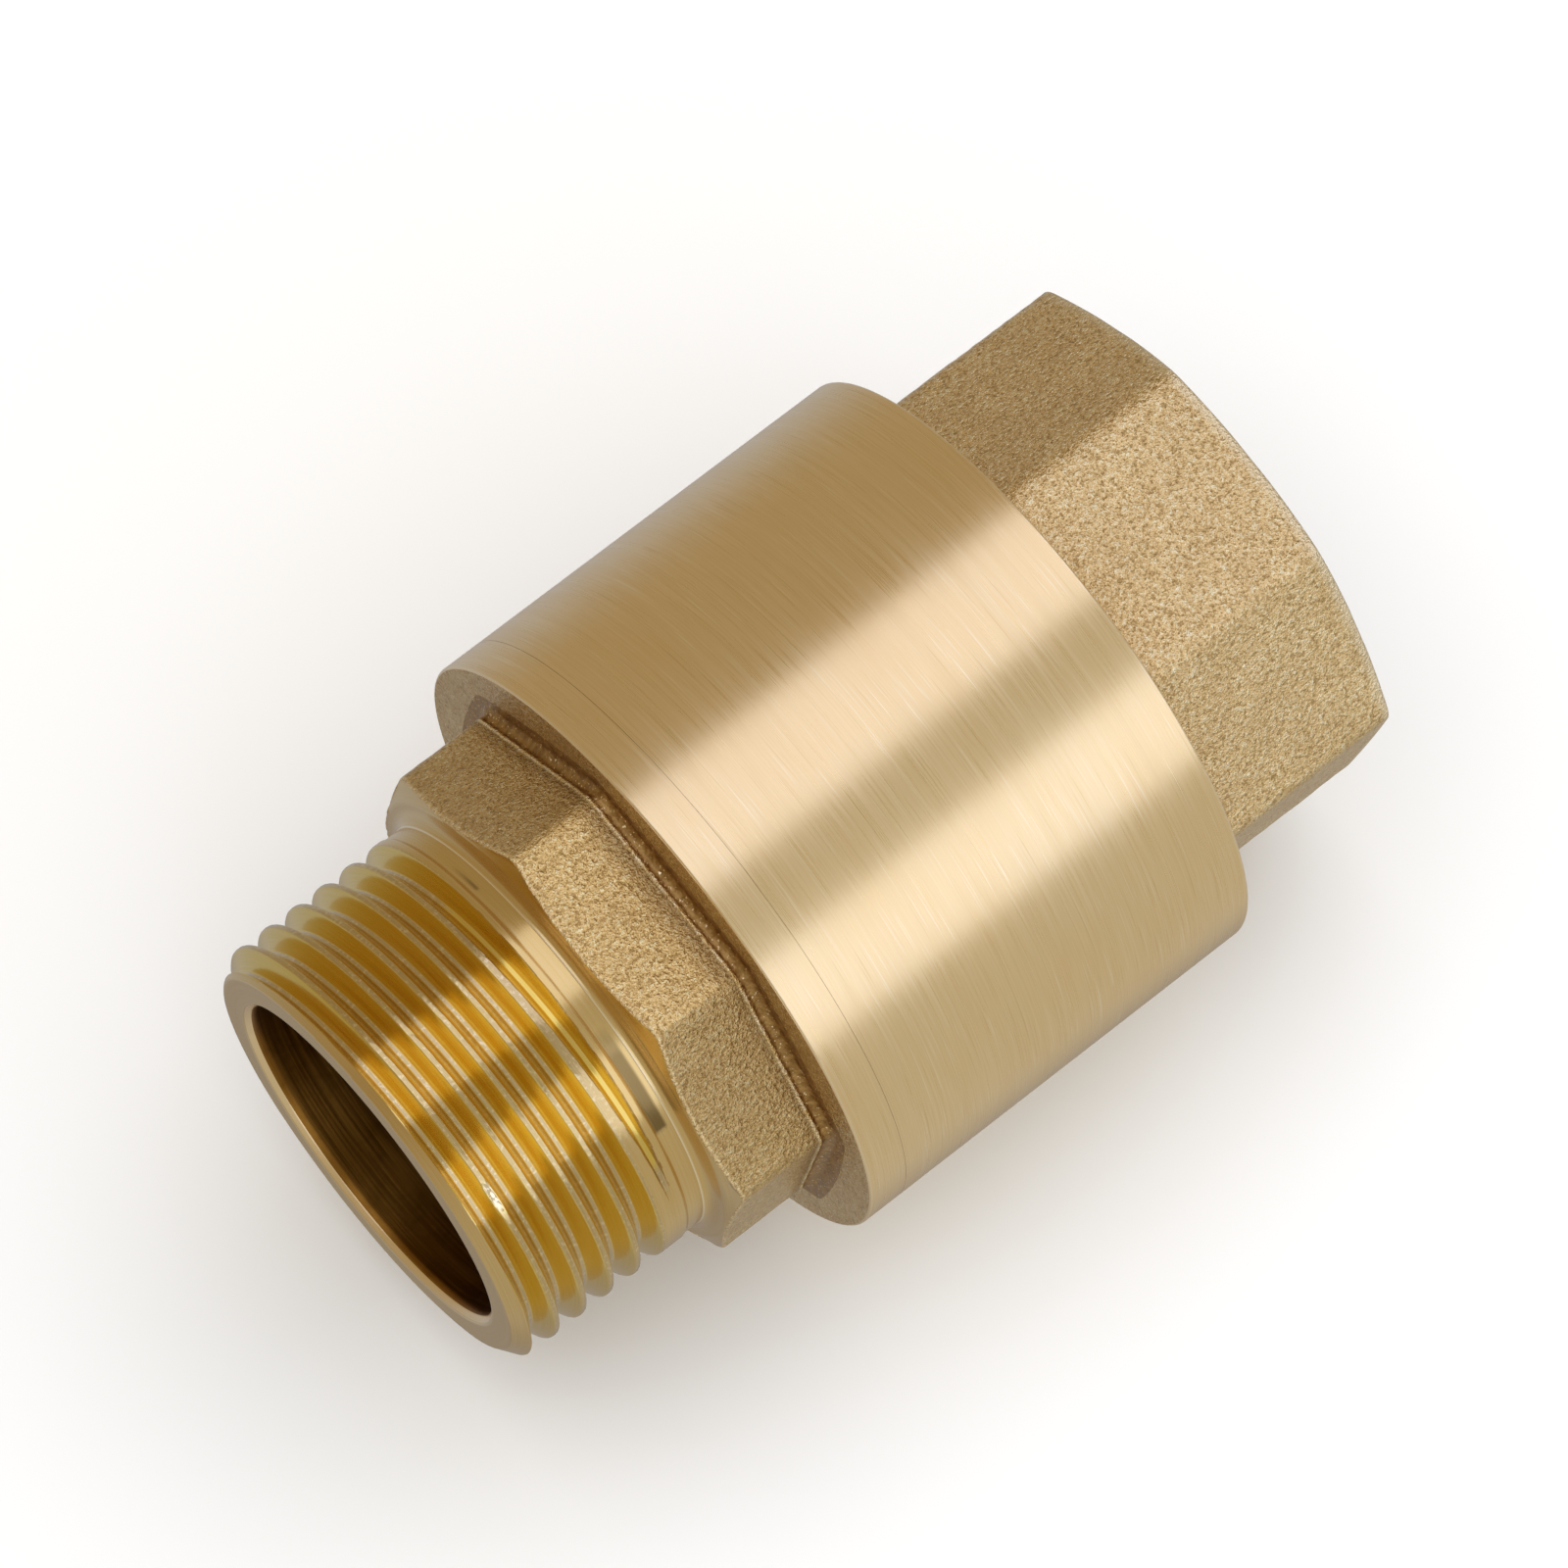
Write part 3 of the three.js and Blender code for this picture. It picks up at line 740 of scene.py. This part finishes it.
# ------------------------------------------------------------------ inside pieces


def turned_piece(rows):
    """Patch of a round piece from (x, r) corners, with close rows beside each corner."""
    o = Outline(ROUND_SMALL)
    corners = [*rows, rows[0]]
    o.add(*corners[0])
    for (x0, r0), (x1, r1) in zip(corners, corners[1:]):
        length = math.hypot(x1 - x0, r1 - r0)
        near = min(0.08, length / 4)
        for t in (near / length, 0.5, 1 - near / length):
            o.add(x0 + (x1 - x0) * t, r0 + (r1 - r0) * t)
        o.add(x1, r1)
    return o.patch()


def joint_o_ring():
    """O-ring in the groove behind the joint line."""
    around = circle(24)[:, None]
    angle = circle(ROUND_SMALL)[None, :]
    x = O_RING_X + O_RING_CORD_R * np.cos(around)
    r = O_RING_R + O_RING_CORD_R * np.sin(around)
    points = polar_points(x, r, angle)
    return [Patch(points, grid_quads(*points.shape[:2], wrap_rows=True), 0)]


def spring_line():
    """Points along the wire's centre line, with closed ends."""
    turn = np.linspace(0, SPRING_TURNS, round(SPRING_TURNS * SPRING_STEPS_PER_TURN) + 1)
    clearance = SPRING_WIRE_R + 0.03
    start = DISC_BACK - SPRING_SEAT_DEPTH + clearance
    end = GUIDE_ARM_FRONT - clearance
    dead_pitch = 2 * SPRING_WIRE_R + 0.05
    active = SPRING_TURNS - 2 * SPRING_DEAD_TURNS
    pitch = (end - start - 2 * SPRING_DEAD_TURNS * dead_pitch) / active
    dead = np.minimum(turn, SPRING_DEAD_TURNS) + np.clip(turn - SPRING_DEAD_TURNS - active, 0, None)
    x = start + dead * dead_pitch + (turn - dead) * pitch
    return polar_points(x, SPRING_R, turn * TAU)


def closing_spring():
    """Round wire wound from the poppet's seat to the arms of the guide."""
    points = spring_line()
    outward = points * np.array([0, 1, 1]) / SPRING_R
    around = circle(16)
    section = SPRING_WIRE_R * np.stack([np.cos(around), np.sin(around)], -1)
    return [swept(points, outward, section)]


def guide_spider():
    """Rim and hub joined by bevelled arms."""
    edge = 0.3
    rim = turned_piece([
        (GUIDE_BACK, GUIDE_RIM_INNER_R), (GUIDE_RIM_FRONT + edge, GUIDE_RIM_INNER_R),
        (GUIDE_RIM_FRONT, GUIDE_RIM_INNER_R + edge), (GUIDE_RIM_FRONT, GUIDE_RIM_R - edge),
        (GUIDE_RIM_FRONT + edge, GUIDE_RIM_R), (GUIDE_BACK, GUIDE_RIM_R),
    ])
    hole_r = BUSH_R + 0.1
    hub = turned_piece([
        (GUIDE_BACK, hole_r), (GUIDE_HUB_FRONT, hole_r), (GUIDE_HUB_FRONT, GUIDE_HUB_R - edge),
        (GUIDE_HUB_FRONT + edge, GUIDE_HUB_R), (GUIDE_BACK, GUIDE_HUB_R),
    ])
    half = GUIDE_ARM_WIDTH / 2
    depth = (GUIDE_BACK - GUIDE_ARM_FRONT) / 2
    bevel = 0.35
    section = [
        (-depth, half), (-depth, -half), (depth - bevel, -half), (depth, bevel - half),
        (depth, half - bevel), (depth - bevel, half),
    ]
    arms = []
    for k in range(GUIDE_ARMS):
        r = np.linspace(GUIDE_HUB_R - 0.6, GUIDE_RIM_INNER_R + 0.8, 8)
        line = polar_points(np.full(8, GUIDE_BACK - depth - 0.01), r, k * TAU / GUIDE_ARMS)
        arms.append(swept(line, np.tile([-1.0, 0, 0], (8, 1)), section))
    return [rim, hub, *arms]


def guide_bush():
    """Flanged sleeve in the hub of the guide."""
    back = GUIDE_HUB_FRONT - 0.1
    front = back - BUSH_FLANGE
    return [turned_piece([
        (front, BUSH_BORE_R + 0.1), (front, BUSH_FLANGE_R - 0.15), (front + 0.15, BUSH_FLANGE_R),
        (back, BUSH_FLANGE_R), (back, BUSH_R), (GUIDE_BACK, BUSH_R), (GUIDE_BACK, BUSH_BORE_R),
        (front + 0.1, BUSH_BORE_R),
    ])]


def poppet():
    """Disc with a pocket for the seal and a seat for the spring, on its stem and stud."""
    pocket_r = SEAL_OUTER_R + 0.1
    pocket_floor = SEAL_BACK + 0.1
    seat_floor = DISC_BACK - SPRING_SEAT_DEPTH
    rows = [
        (STUD_START, 0.01), (STUD_START, STEM_R - 0.4), (STUD_START + 0.4, STEM_R - 0.05),
        (PLATE_BACK + 0.1, STEM_R), (PLATE_BACK + 0.1, SEAL_INNER_R - 0.1),
        (pocket_floor, SEAL_INNER_R - 0.1), (pocket_floor, pocket_r), (SEAL_FRONT + 0.8, pocket_r),
        (SEAL_FRONT + 0.8, DISC_R - 0.1), (SEAL_FRONT + 0.9, DISC_R), (DISC_BACK - 0.8, DISC_R),
        (DISC_BACK, DISC_R - 1.6), (DISC_BACK, SPRING_SEAT_OUTER_R), (seat_floor, SPRING_SEAT_OUTER_R),
        (seat_floor, SPRING_SEAT_INNER_R), (DISC_BACK, SPRING_SEAT_INNER_R), (DISC_BACK, STEM_R + 0.2),
        (DISC_BACK + 0.2, STEM_R), (STEM_END - 0.4, STEM_R), (STEM_END, STEM_R - 0.4), (STEM_END, 0.01),
    ]
    return [turned_piece(rows)]


def seal_ring():
    """Flat rubber ring with eased front edges."""
    edge = 0.25
    return [turned_piece([
        (SEAL_FRONT + edge, SEAL_INNER_R), (SEAL_FRONT, SEAL_INNER_R + edge),
        (SEAL_FRONT, SEAL_OUTER_R - edge), (SEAL_FRONT + edge, SEAL_OUTER_R),
        (SEAL_BACK, SEAL_OUTER_R), (SEAL_BACK, SEAL_INNER_R),
    ])]


def seal_plate():
    """Bevelled plate that clamps the seal."""
    return [turned_piece([
        (PLATE_FRONT, STEM_HOLE_R), (PLATE_FRONT, PLATE_R - 2.4), (PLATE_FRONT + 1, PLATE_R),
        (PLATE_BACK, PLATE_R), (PLATE_BACK, STEM_HOLE_R),
    ])]


def lock_washer():
    """Split spring washer whose ends stand a little apart."""
    count = 80
    angle = np.linspace(WASHER_SPLIT, TAU - WASHER_SPLIT, count) + math.pi / 2
    x = (WASHER_START + WASHER_END) / 2 + np.linspace(-0.02, 0.02, count)
    line = polar_points(x, (STEM_HOLE_R + WASHER_R) / 2, angle)
    outward = polar_points(np.zeros(count), 1.0, angle)
    half = (WASHER_R - STEM_HOLE_R) / 2
    deep = (WASHER_END - WASHER_START) / 2 - 0.03
    bevel = 0.12
    section = [
        (half, bevel - deep), (half, deep - bevel), (half - bevel, deep), (bevel - half, deep),
        (-half, deep - bevel), (-half, bevel - deep), (bevel - half, -deep), (half - bevel, -deep),
    ]
    return [swept(line, outward, section)]


def plate_nut():
    """Hexagon nut with turned-off corners and a bevelled hole."""
    o = Outline(ROUND_SMALL)
    full = polygon_radius(o.angle, 6, NUT_FLATS, corner_r=0.2, turn_degrees=0)
    start = NUT_END - NUT_THICKNESS
    face_r = NUT_FLATS / 2 - 0.15
    corner = np.clip(full - face_r, 0, None) * math.tan(math.radians(30))
    bevel = 0.3
    o.add(start + bevel, STEM_HOLE_R)
    o.line(start, STEM_HOLE_R + bevel, 2)
    o.line(start, np.minimum(full, face_r), 4)
    o.line(start + corner, full, 4)
    o.line(NUT_END - corner, full, 6)
    o.line(NUT_END, np.minimum(full, face_r), 4)
    o.line(NUT_END, STEM_HOLE_R + bevel, 2)
    o.line(NUT_END - bevel, STEM_HOLE_R, 2)
    o.line(start + bevel, STEM_HOLE_R, 8)
    return [o.patch()]


# ------------------------------------------------------------------ materials


class Finish:
    """Node material round one Principled shader; textures work in millimetres of object space."""

    def __init__(self, name, **settings):
        self.material = bpy.data.materials.new(name)
        self.material.use_nodes = True
        self.tree = self.material.node_tree
        self.shader = self.tree.nodes["Principled BSDF"]
        for socket, value in settings.items():
            self.shader.inputs[socket.replace("_", " ")].default_value = value
        coordinates = self.tree.nodes.new("ShaderNodeTexCoord").outputs["Object"]
        self.place = self.node("ShaderNodeVectorMath", {0: coordinates, "Scale": 1 / MM}, operation="SCALE")
        x, y, z = self.node("ShaderNodeSeparateXYZ", {0: self.place}, outputs=3)
        radius = self.node("ShaderNodeVectorMath", {0: self.xyz(0, y, z)}, output="Value", operation="LENGTH")
        self.along = self.xyz(self.math("ADD", x, radius), y, z)

    def node(self, kind, inputs=None, output=0, outputs=0, **settings):
        """Adds a node and gives one output, or the first few."""
        made = self.tree.nodes.new(kind)
        for key, value in settings.items():
            setattr(made, key, value)
        for socket, value in (inputs or {}).items():
            if isinstance(value, bpy.types.NodeSocket):
                self.tree.links.new(value, made.inputs[socket])
            else:
                made.inputs[socket].default_value = value
        return [made.outputs[k] for k in range(outputs)] if outputs else made.outputs[output]

    def set(self, socket, value):
        """Feeds a node's output into the shader."""
        self.tree.links.new(value, self.shader.inputs[socket])

    def math(self, operation, a, b):
        return self.node("ShaderNodeMath", {0: a, 1: b}, operation=operation)

    def xyz(self, x, y, z):
        return self.node("ShaderNodeCombineXYZ", {0: x, 1: y, 2: z})

    def scaled(self, vector, scale):
        return self.node("ShaderNodeVectorMath", {0: vector, 1: scale}, operation="MULTIPLY")

    def noise(self, scale, detail=2.0, rough=0.5, vector=None, distortion=0.0):
        """Noise of scale cells per millimetre, one number or one per axis."""
        scale = scale if isinstance(scale, tuple) else (scale,) * 3
        place = self.scaled(vector or self.place, scale)
        return self.node("ShaderNodeTexNoise", {
            "Vector": place, "Scale": 1.0, "Detail": detail, "Roughness": rough, "Distortion": distortion,
        })

    def streaks(self, fine, long, detail=2.0, rough=0.6):
        """Turning marks round the axis: fine cells per millimetre across them, long along them."""
        return self.noise((fine, long, long), detail, rough, self.along)

    def cells(self, scale):
        """Distance to the nearest of that many scattered points per millimetre."""
        place = self.scaled(self.place, (scale,) * 3)
        return self.node("ShaderNodeTexVoronoi", {"Vector": place, "Scale": 1.0})

    def span(self, value, low, high, to_low=0.0, to_high=1.0):
        """Carries value from low..high to to_low..to_high, clamped."""
        return self.node("ShaderNodeMapRange", {0: value, 1: low, 2: high, 3: to_low, 4: to_high})

    def mix(self, factor, a, b, blend="MIX"):
        """Mix of two colours, each a socket or (r, g, b)."""
        a, b = ((*c, 1.0) if isinstance(c, tuple) else c for c in (a, b))
        inputs = {0: factor, 6: a, 7: b}
        return self.node("ShaderNodeMix", inputs, output=2, data_type="RGBA", blend_type=blend)

    def attribute(self, name):
        return self.node("ShaderNodeAttribute", attribute_name=name, output="Fac")

    def bump(self, height, depth):
        """Bump of that depth in millimetres for a height from 0 to 1."""
        return self.node("ShaderNodeBump", {"Height": height, "Distance": depth * MM, "Strength": 1.0})

    def grain_round_axis(self, amount):
        """Stretches the gloss across marks that run round the flow axis."""
        tangent = self.node("ShaderNodeTangent", direction_type="RADIAL", axis="X")
        self.set("Tangent", tangent)
        self.shader.inputs["Anisotropic"].default_value = amount
        self.shader.inputs["Anisotropic Rotation"].default_value = 0.25


BRASS_LIGHT = (0.93, 0.74, 0.48)
BRASS = (0.86, 0.655, 0.38)
# Deep gold painted on the thread flanks for light bouncing between them.
FLANK_BOUNCE_GOLD = (0.76, 0.55, 0.12)
# Pale brass of worn metal, also used for the painted glints on the inlet ridge.
BRASS_WORN_AND_GLINT = (0.97, 0.85, 0.64)
TURNED_CLOUD = (0.86, 0.60, 0.30)
TURNED_LINE = (0.66, 0.46, 0.22)
CAST_HOLLOW = (0.48, 0.32, 0.14)
CAST_GRAIN = (0.90, 0.66, 0.35)
CAST_PEAK = (1.0, 0.90, 0.66)
CAST_PIT = (0.38, 0.23, 0.09)
CAST_CLOUD = (0.62, 0.42, 0.20)
# Colour of the painted shade on the cast brass.
CAST_SHADE = (0.22, 0.13, 0.055)
SKIN_DARK = (0.27, 0.145, 0.045)
SKIN_LIGHT = (0.47, 0.285, 0.105)
SKIN_SPECK = (0.95, 0.78, 0.52)
CUT_CREST = (0.56, 0.42, 0.22)
CUT_PLAIN = (0.70, 0.50, 0.21)
CUT_MARK_AND_SHADE = (0.15, 0.095, 0.035)
BORE_DARK = (0.20, 0.088, 0.012)
BORE_LIGHT = (0.33, 0.16, 0.028)
BORE_STAIN = (0.13, 0.055, 0.007)
INLET_TONE = (1.0, 0.97, 0.84)
OUTLET_TONE = (1.0, 1.0, 1.0)


def turned_brass():
    """Satin brass with fine turning marks, bright scratches and worn edges."""
    f = Finish("turned_brass", Metallic=1.0)
    fine = f.streaks(8.0, 0.09, 3.0, 0.7)
    broad = f.streaks(1.2, 0.03, 2.0, 0.5)
    cloud = f.noise(0.10, 2.0, 0.5)
    colour = f.mix(f.span(fine, 0.34, 0.66), BRASS, BRASS_LIGHT)
    colour = f.mix(f.span(cloud, 0.42, 0.72, 0.0, 0.30), colour, TURNED_CLOUD)
    lines = f.streaks(10.0, 0.16, 1.0, 0.4)
    colour = f.mix(f.span(lines, 0.66, 0.76, 0.0, 0.4), colour, TURNED_LINE)
    colour = f.mix(f.span(lines, 0.34, 0.26, 0.0, 0.6), colour, BRASS_WORN_AND_GLINT)
    colour = f.mix(f.attribute("wear_and_glint"), colour, BRASS_WORN_AND_GLINT)
    f.set("Base Color", colour)
    rough = f.math("ADD", f.span(fine, 0.3, 0.7, 0.25, 0.36), f.span(broad, 0.3, 0.7, -0.02, 0.03))
    f.set("Roughness", rough)
    f.set("Normal", f.bump(f.math("ADD", fine, f.math("MULTIPLY", broad, 0.5)), 0.009))
    f.grain_round_axis(0.65)
    return f.material


def cast_brass(name, tone):
    """Shot-blasted brass skin: crinkled grains, dark pits and glittering peaks, with the painted shade, wear
    and painted glints that the rows carry.
    """
    f = Finish(name, Metallic=1.0)
    grain = f.noise(3.3, 2.0, 0.55, distortion=0.4)
    fine = f.noise(7.0, 2.0, 0.6, distortion=0.3)
    pits = f.cells(2.4)
    broad = f.noise(0.35, 2.0, 0.5)
    height = f.math("ADD", f.math("MULTIPLY", grain, 0.6), f.math("MULTIPLY", fine, 0.4))
    colour = f.mix(f.span(height, 0.38, 0.49), CAST_HOLLOW, CAST_GRAIN)
    colour = f.mix(f.span(height, 0.52, 0.62), colour, CAST_PEAK)
    colour = f.mix(f.span(pits, 0.10, 0.28, 0.45, 0.0), colour, CAST_PIT)
    colour = f.mix(f.span(broad, 0.35, 0.7, 0.0, 0.3), colour, CAST_CLOUD)
    colour = f.mix(1.0, colour, tone, "MULTIPLY")
    # Painted shade from the rows: on the inlet flats, at the ridge and along the outlet fillet; the inlet end
    # face is evenly darkened by it too.
    colour = f.mix(f.math("MULTIPLY", f.attribute("stain_and_shade"), 0.6), colour, CAST_SHADE)
    # Wear on edges, and painted glints along the inlet ridge.
    colour = f.mix(f.math("MULTIPLY", f.attribute("wear_and_glint"), 0.7), colour, BRASS_WORN_AND_GLINT)
    f.set("Base Color", colour)
    f.set("Roughness", f.span(fine, 0.3, 0.7, 0.14, 0.30))
    f.set("Normal", f.bump(height, 0.27))
    return f.material


def brown_skin():
    """Untouched casting skin, brown and fairly smooth."""
    f = Finish("brown_skin", Metallic=1.0)
    grain = f.noise(2.0, 3.0, 0.6)
    specks = f.noise(5.0, 1.0, 0.5)
    colour = f.mix(f.span(grain, 0.35, 0.65), SKIN_DARK, SKIN_LIGHT)
    colour = f.mix(f.span(specks, 0.66, 0.72), colour, SKIN_SPECK)
    f.set("Base Color", colour)
    f.set("Roughness", f.span(grain, 0.3, 0.7, 0.32, 0.48))
    f.set("Normal", f.bump(grain, 0.12))
    return f.material


def cut_brass():
    """Bright cut brass: flanks painted a deeper gold for the light that bounces between them, speckled
    crests, and a plain finish away from the threads.
    """
    f = Finish("cut_brass", Metallic=1.0)
    fine = f.streaks(8.0, 0.10, 2.0, 0.6)
    flecks = f.noise(3.2, 2.0, 0.6)
    depth = f.attribute("depth")
    flank = f.math("MULTIPLY", f.span(depth, 0.0, 0.06), f.span(depth, 0.995, 0.97))
    top = f.mix(f.span(flecks, 0.54, 0.68, 0.0, 0.4), CUT_CREST, BRASS_WORN_AND_GLINT)
    top = f.mix(f.span(depth, -0.05, -0.15), top, CUT_PLAIN)
    # Painted bounce light: the flanks get the deeper gold.
    colour = f.mix(flank, top, FLANK_BOUNCE_GOLD)
    colour = f.mix(f.span(fine, 0.35, 0.65, 0.0, 0.2), colour, BRASS_LIGHT)
    # Tool marks on the neck, and the painted shade that runs on from the second one.
    colour = f.mix(f.math("MULTIPLY", f.attribute("stain_and_shade"), 0.85), colour, CUT_MARK_AND_SHADE)
    colour = f.mix(f.attribute("wear_and_glint"), colour, BRASS_WORN_AND_GLINT)
    f.set("Base Color", colour)
    rough = f.math("ADD", f.span(fine, 0.3, 0.7, 0.12, 0.20), f.span(flank, 0.0, 1.0, 0.06, 0.0))
    f.set("Roughness", rough)
    f.set("Normal", f.bump(fine, 0.003))
    f.grain_round_axis(0.5)
    return f.material


def bore_brass():
    """Dull brown wall of the waterway with fine turning marks."""
    f = Finish("bore_brass", Metallic=1.0)
    fine = f.streaks(5.0, 0.08, 2.0, 0.6)
    stain_and_shade = f.noise(0.5, 3.0, 0.6)
    colour = f.mix(f.span(fine, 0.3, 0.7), BORE_DARK, BORE_LIGHT)
    colour = f.mix(f.span(stain_and_shade, 0.5, 0.75, 0.0, 0.5), colour, BORE_STAIN)
    f.set("Base Color", colour)
    f.set("Roughness", f.span(fine, 0.3, 0.7, 0.30, 0.42))
    f.set("Normal", f.bump(fine, 0.01))
    f.grain_round_axis(0.4)
    return f.material


def grained(name, noise, dark, light, gloss, depth, **settings):
    """Plain material whose colour, gloss and bump follow one fine noise."""
    f = Finish(name, **settings)
    grain = f.noise(*noise)
    f.set("Base Color", f.mix(f.span(grain, 0.3, 0.7), dark, light))
    f.set("Roughness", f.span(grain, 0.3, 0.7, *gloss))
    f.set("Normal", f.bump(grain, depth))
    return f.material


def black_rubber():
    dark, light = (0.012, 0.012, 0.013), (0.03, 0.03, 0.031)
    return grained("black_rubber", (3.0, 3.0, 0.6), dark, light, (0.5, 0.68), 0.02, Metallic=0.0)


def white_polymer():
    dark, light = (0.78, 0.76, 0.70), (0.84, 0.82, 0.77)
    soft = {"Metallic": 0.0, "Subsurface_Weight": 0.1}
    return grained("white_polymer", (1.5, 2.0, 0.5), dark, light, (0.36, 0.46), 0.008, **soft)


def stainless():
    dark, light = (0.50, 0.50, 0.49), (0.62, 0.62, 0.61)
    return grained("stainless", (5.0, 2.0, 0.6), dark, light, (0.20, 0.32), 0.004, Metallic=1.0)


# ------------------------------------------------------------------ pieces on the frame

TURNED_BRASS = turned_brass()
CUT_BRASS = cut_brass()
BORE_BRASS = bore_brass()
INLET_CAST = cast_brass("cast_brass_inlet", INLET_TONE)
OUTLET_CAST = cast_brass("cast_brass_outlet", OUTLET_TONE)
CONNECTOR_BRASS = [TURNED_BRASS, INLET_CAST, CUT_BRASS, BORE_BRASS, brown_skin()]
BODY_BRASS = [TURNED_BRASS, OUTLET_CAST, CUT_BRASS, BORE_BRASS]
RUBBER = black_rubber()
STEEL = stainless()


def housing_piece(name, patches, materials, sharp=35):
    return make_piece("visual_" + name, patches, materials, "housing", [name], sharp)


def poppet_piece(name, patches, materials):
    return make_piece("visual_" + name, patches, materials, "poppet_assembly", [name])


housing_piece("end_connector", end_connector(), CONNECTOR_BRASS, sharp=50)
housing_piece("valve_body", valve_body(), BODY_BRASS, sharp=50)
housing_piece("joint_o_ring", joint_o_ring(), [RUBBER])
housing_piece("guide_spider", guide_spider(), [TURNED_BRASS])
housing_piece("guide_bush", guide_bush(), [white_polymer()])
spring = housing_piece("closing_spring", closing_spring(), [STEEL])
poppet_piece("poppet", poppet(), [TURNED_BRASS])
poppet_piece("seal_ring", seal_ring(), [RUBBER])
poppet_piece("seal_plate", seal_plate(), [TURNED_BRASS])
poppet_piece("lock_washer", lock_washer(), [STEEL])
poppet_piece("plate_nut", plate_nut(), [STEEL])

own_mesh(spring)

# ------------------------------------------------------------------ floor and light


def make_floor():
    """Pale floor under the barrel, left out of reflections."""
    data = bpy.data.meshes.new("floor")
    corners = [(x * FLOOR_HALF, y * FLOOR_HALF, 0) for x, y in ((-1, -1), (1, -1), (1, 1), (-1, 1))]
    data.from_pydata(corners, [], [(0, 1, 2, 3)])
    floor = bpy.data.objects.new("floor", data)
    floor.location.z = -BARREL_R * MM
    f = Finish("floor", Metallic=0.0, Roughness=0.6)
    f.shader.inputs["Base Color"].default_value = FLOOR_COLOUR
    data.materials.append(f.material)
    bpy.context.collection.objects.link(floor)
    floor.visible_glossy = False


def make_panel(name, angle_degrees, distance, across, length, radiance, colour, glossy=True):
    """Area light parallel to the flow axis, at an angle from +Z towards -Y, shifted towards the outlet."""
    data = bpy.data.lights.new(name, "AREA")
    data.shape = "RECTANGLE"
    data.size = length
    data.size_y = across
    data.color = colour
    data.energy = radiance * length * across * math.pi
    panel = bpy.data.objects.new(name, data)
    angle = math.radians(angle_degrees)
    direction = Vector((0, -math.sin(angle), math.cos(angle)))
    panel.location = direction * distance + Vector((PANEL_SHIFT * distance, 0, 0))
    panel.rotation_mode = "XYZ"
    panel.rotation_euler = (angle, 0, 0)
    panel.visible_glossy = glossy
    panel.visible_camera = False
    bpy.context.collection.objects.link(panel)


def make_world():
    """Surround whose colour changes from front to back and, behind the part, from low to high."""
    world = bpy.data.worlds.new("world")
    world.use_nodes = True
    tree = world.node_tree
    direction = tree.nodes.new("ShaderNodeTexCoord").outputs["Generated"]
    parts = tree.nodes.new("ShaderNodeSeparateXYZ")
    tree.links.new(direction, parts.inputs[0])

    def part(k, low, high):
        span = tree.nodes.new("ShaderNodeMapRange")
        span.interpolation_type = "SMOOTHSTEP"
        tree.links.new(parts.outputs[k], span.inputs[0])
        span.inputs[1].default_value = low
        span.inputs[2].default_value = high
        return span.outputs[0]

    def mix(factor, a, b):
        mixed = tree.nodes.new("ShaderNodeMix")
        mixed.data_type = "RGBA"
        tree.links.new(factor, mixed.inputs[0])
        for socket, colour in ((6, a), (7, b)):
            if isinstance(colour, tuple):
                mixed.inputs[socket].default_value = (*colour, 1)
            else:
                tree.links.new(colour, mixed.inputs[socket])
        return mixed.outputs[2]

    low = mix(part(2, -0.95, -0.85), WORLD_BELOW, WORLD_BACK_LOW)
    back_side = mix(part(2, -0.75, 0.0), low, WORLD_BACK)
    colour = mix(part(1, -0.6, 0.2), WORLD_FRONT, back_side)
    tree.links.new(colour, tree.nodes["Background"].inputs["Color"])
    bpy.context.scene.world = world


make_floor()
make_world()
make_panel("softbox_top", -6.5, distance=1.0, across=0.72, length=2.6, radiance=1.0, colour=SOFTBOX)
make_panel("softbox_side", 60.5, distance=1.0, across=0.65, length=2.6, radiance=0.93, colour=SOFTBOX)
make_panel("floor_fill", 0, distance=1.6, across=3.0, length=3.0, radiance=1.1, colour=FILL, glossy=False)
bpy.context.scene.view_settings.view_transform = "Standard"

# ------------------------------------------------------------------ final update

bpy.context.view_layer.update()
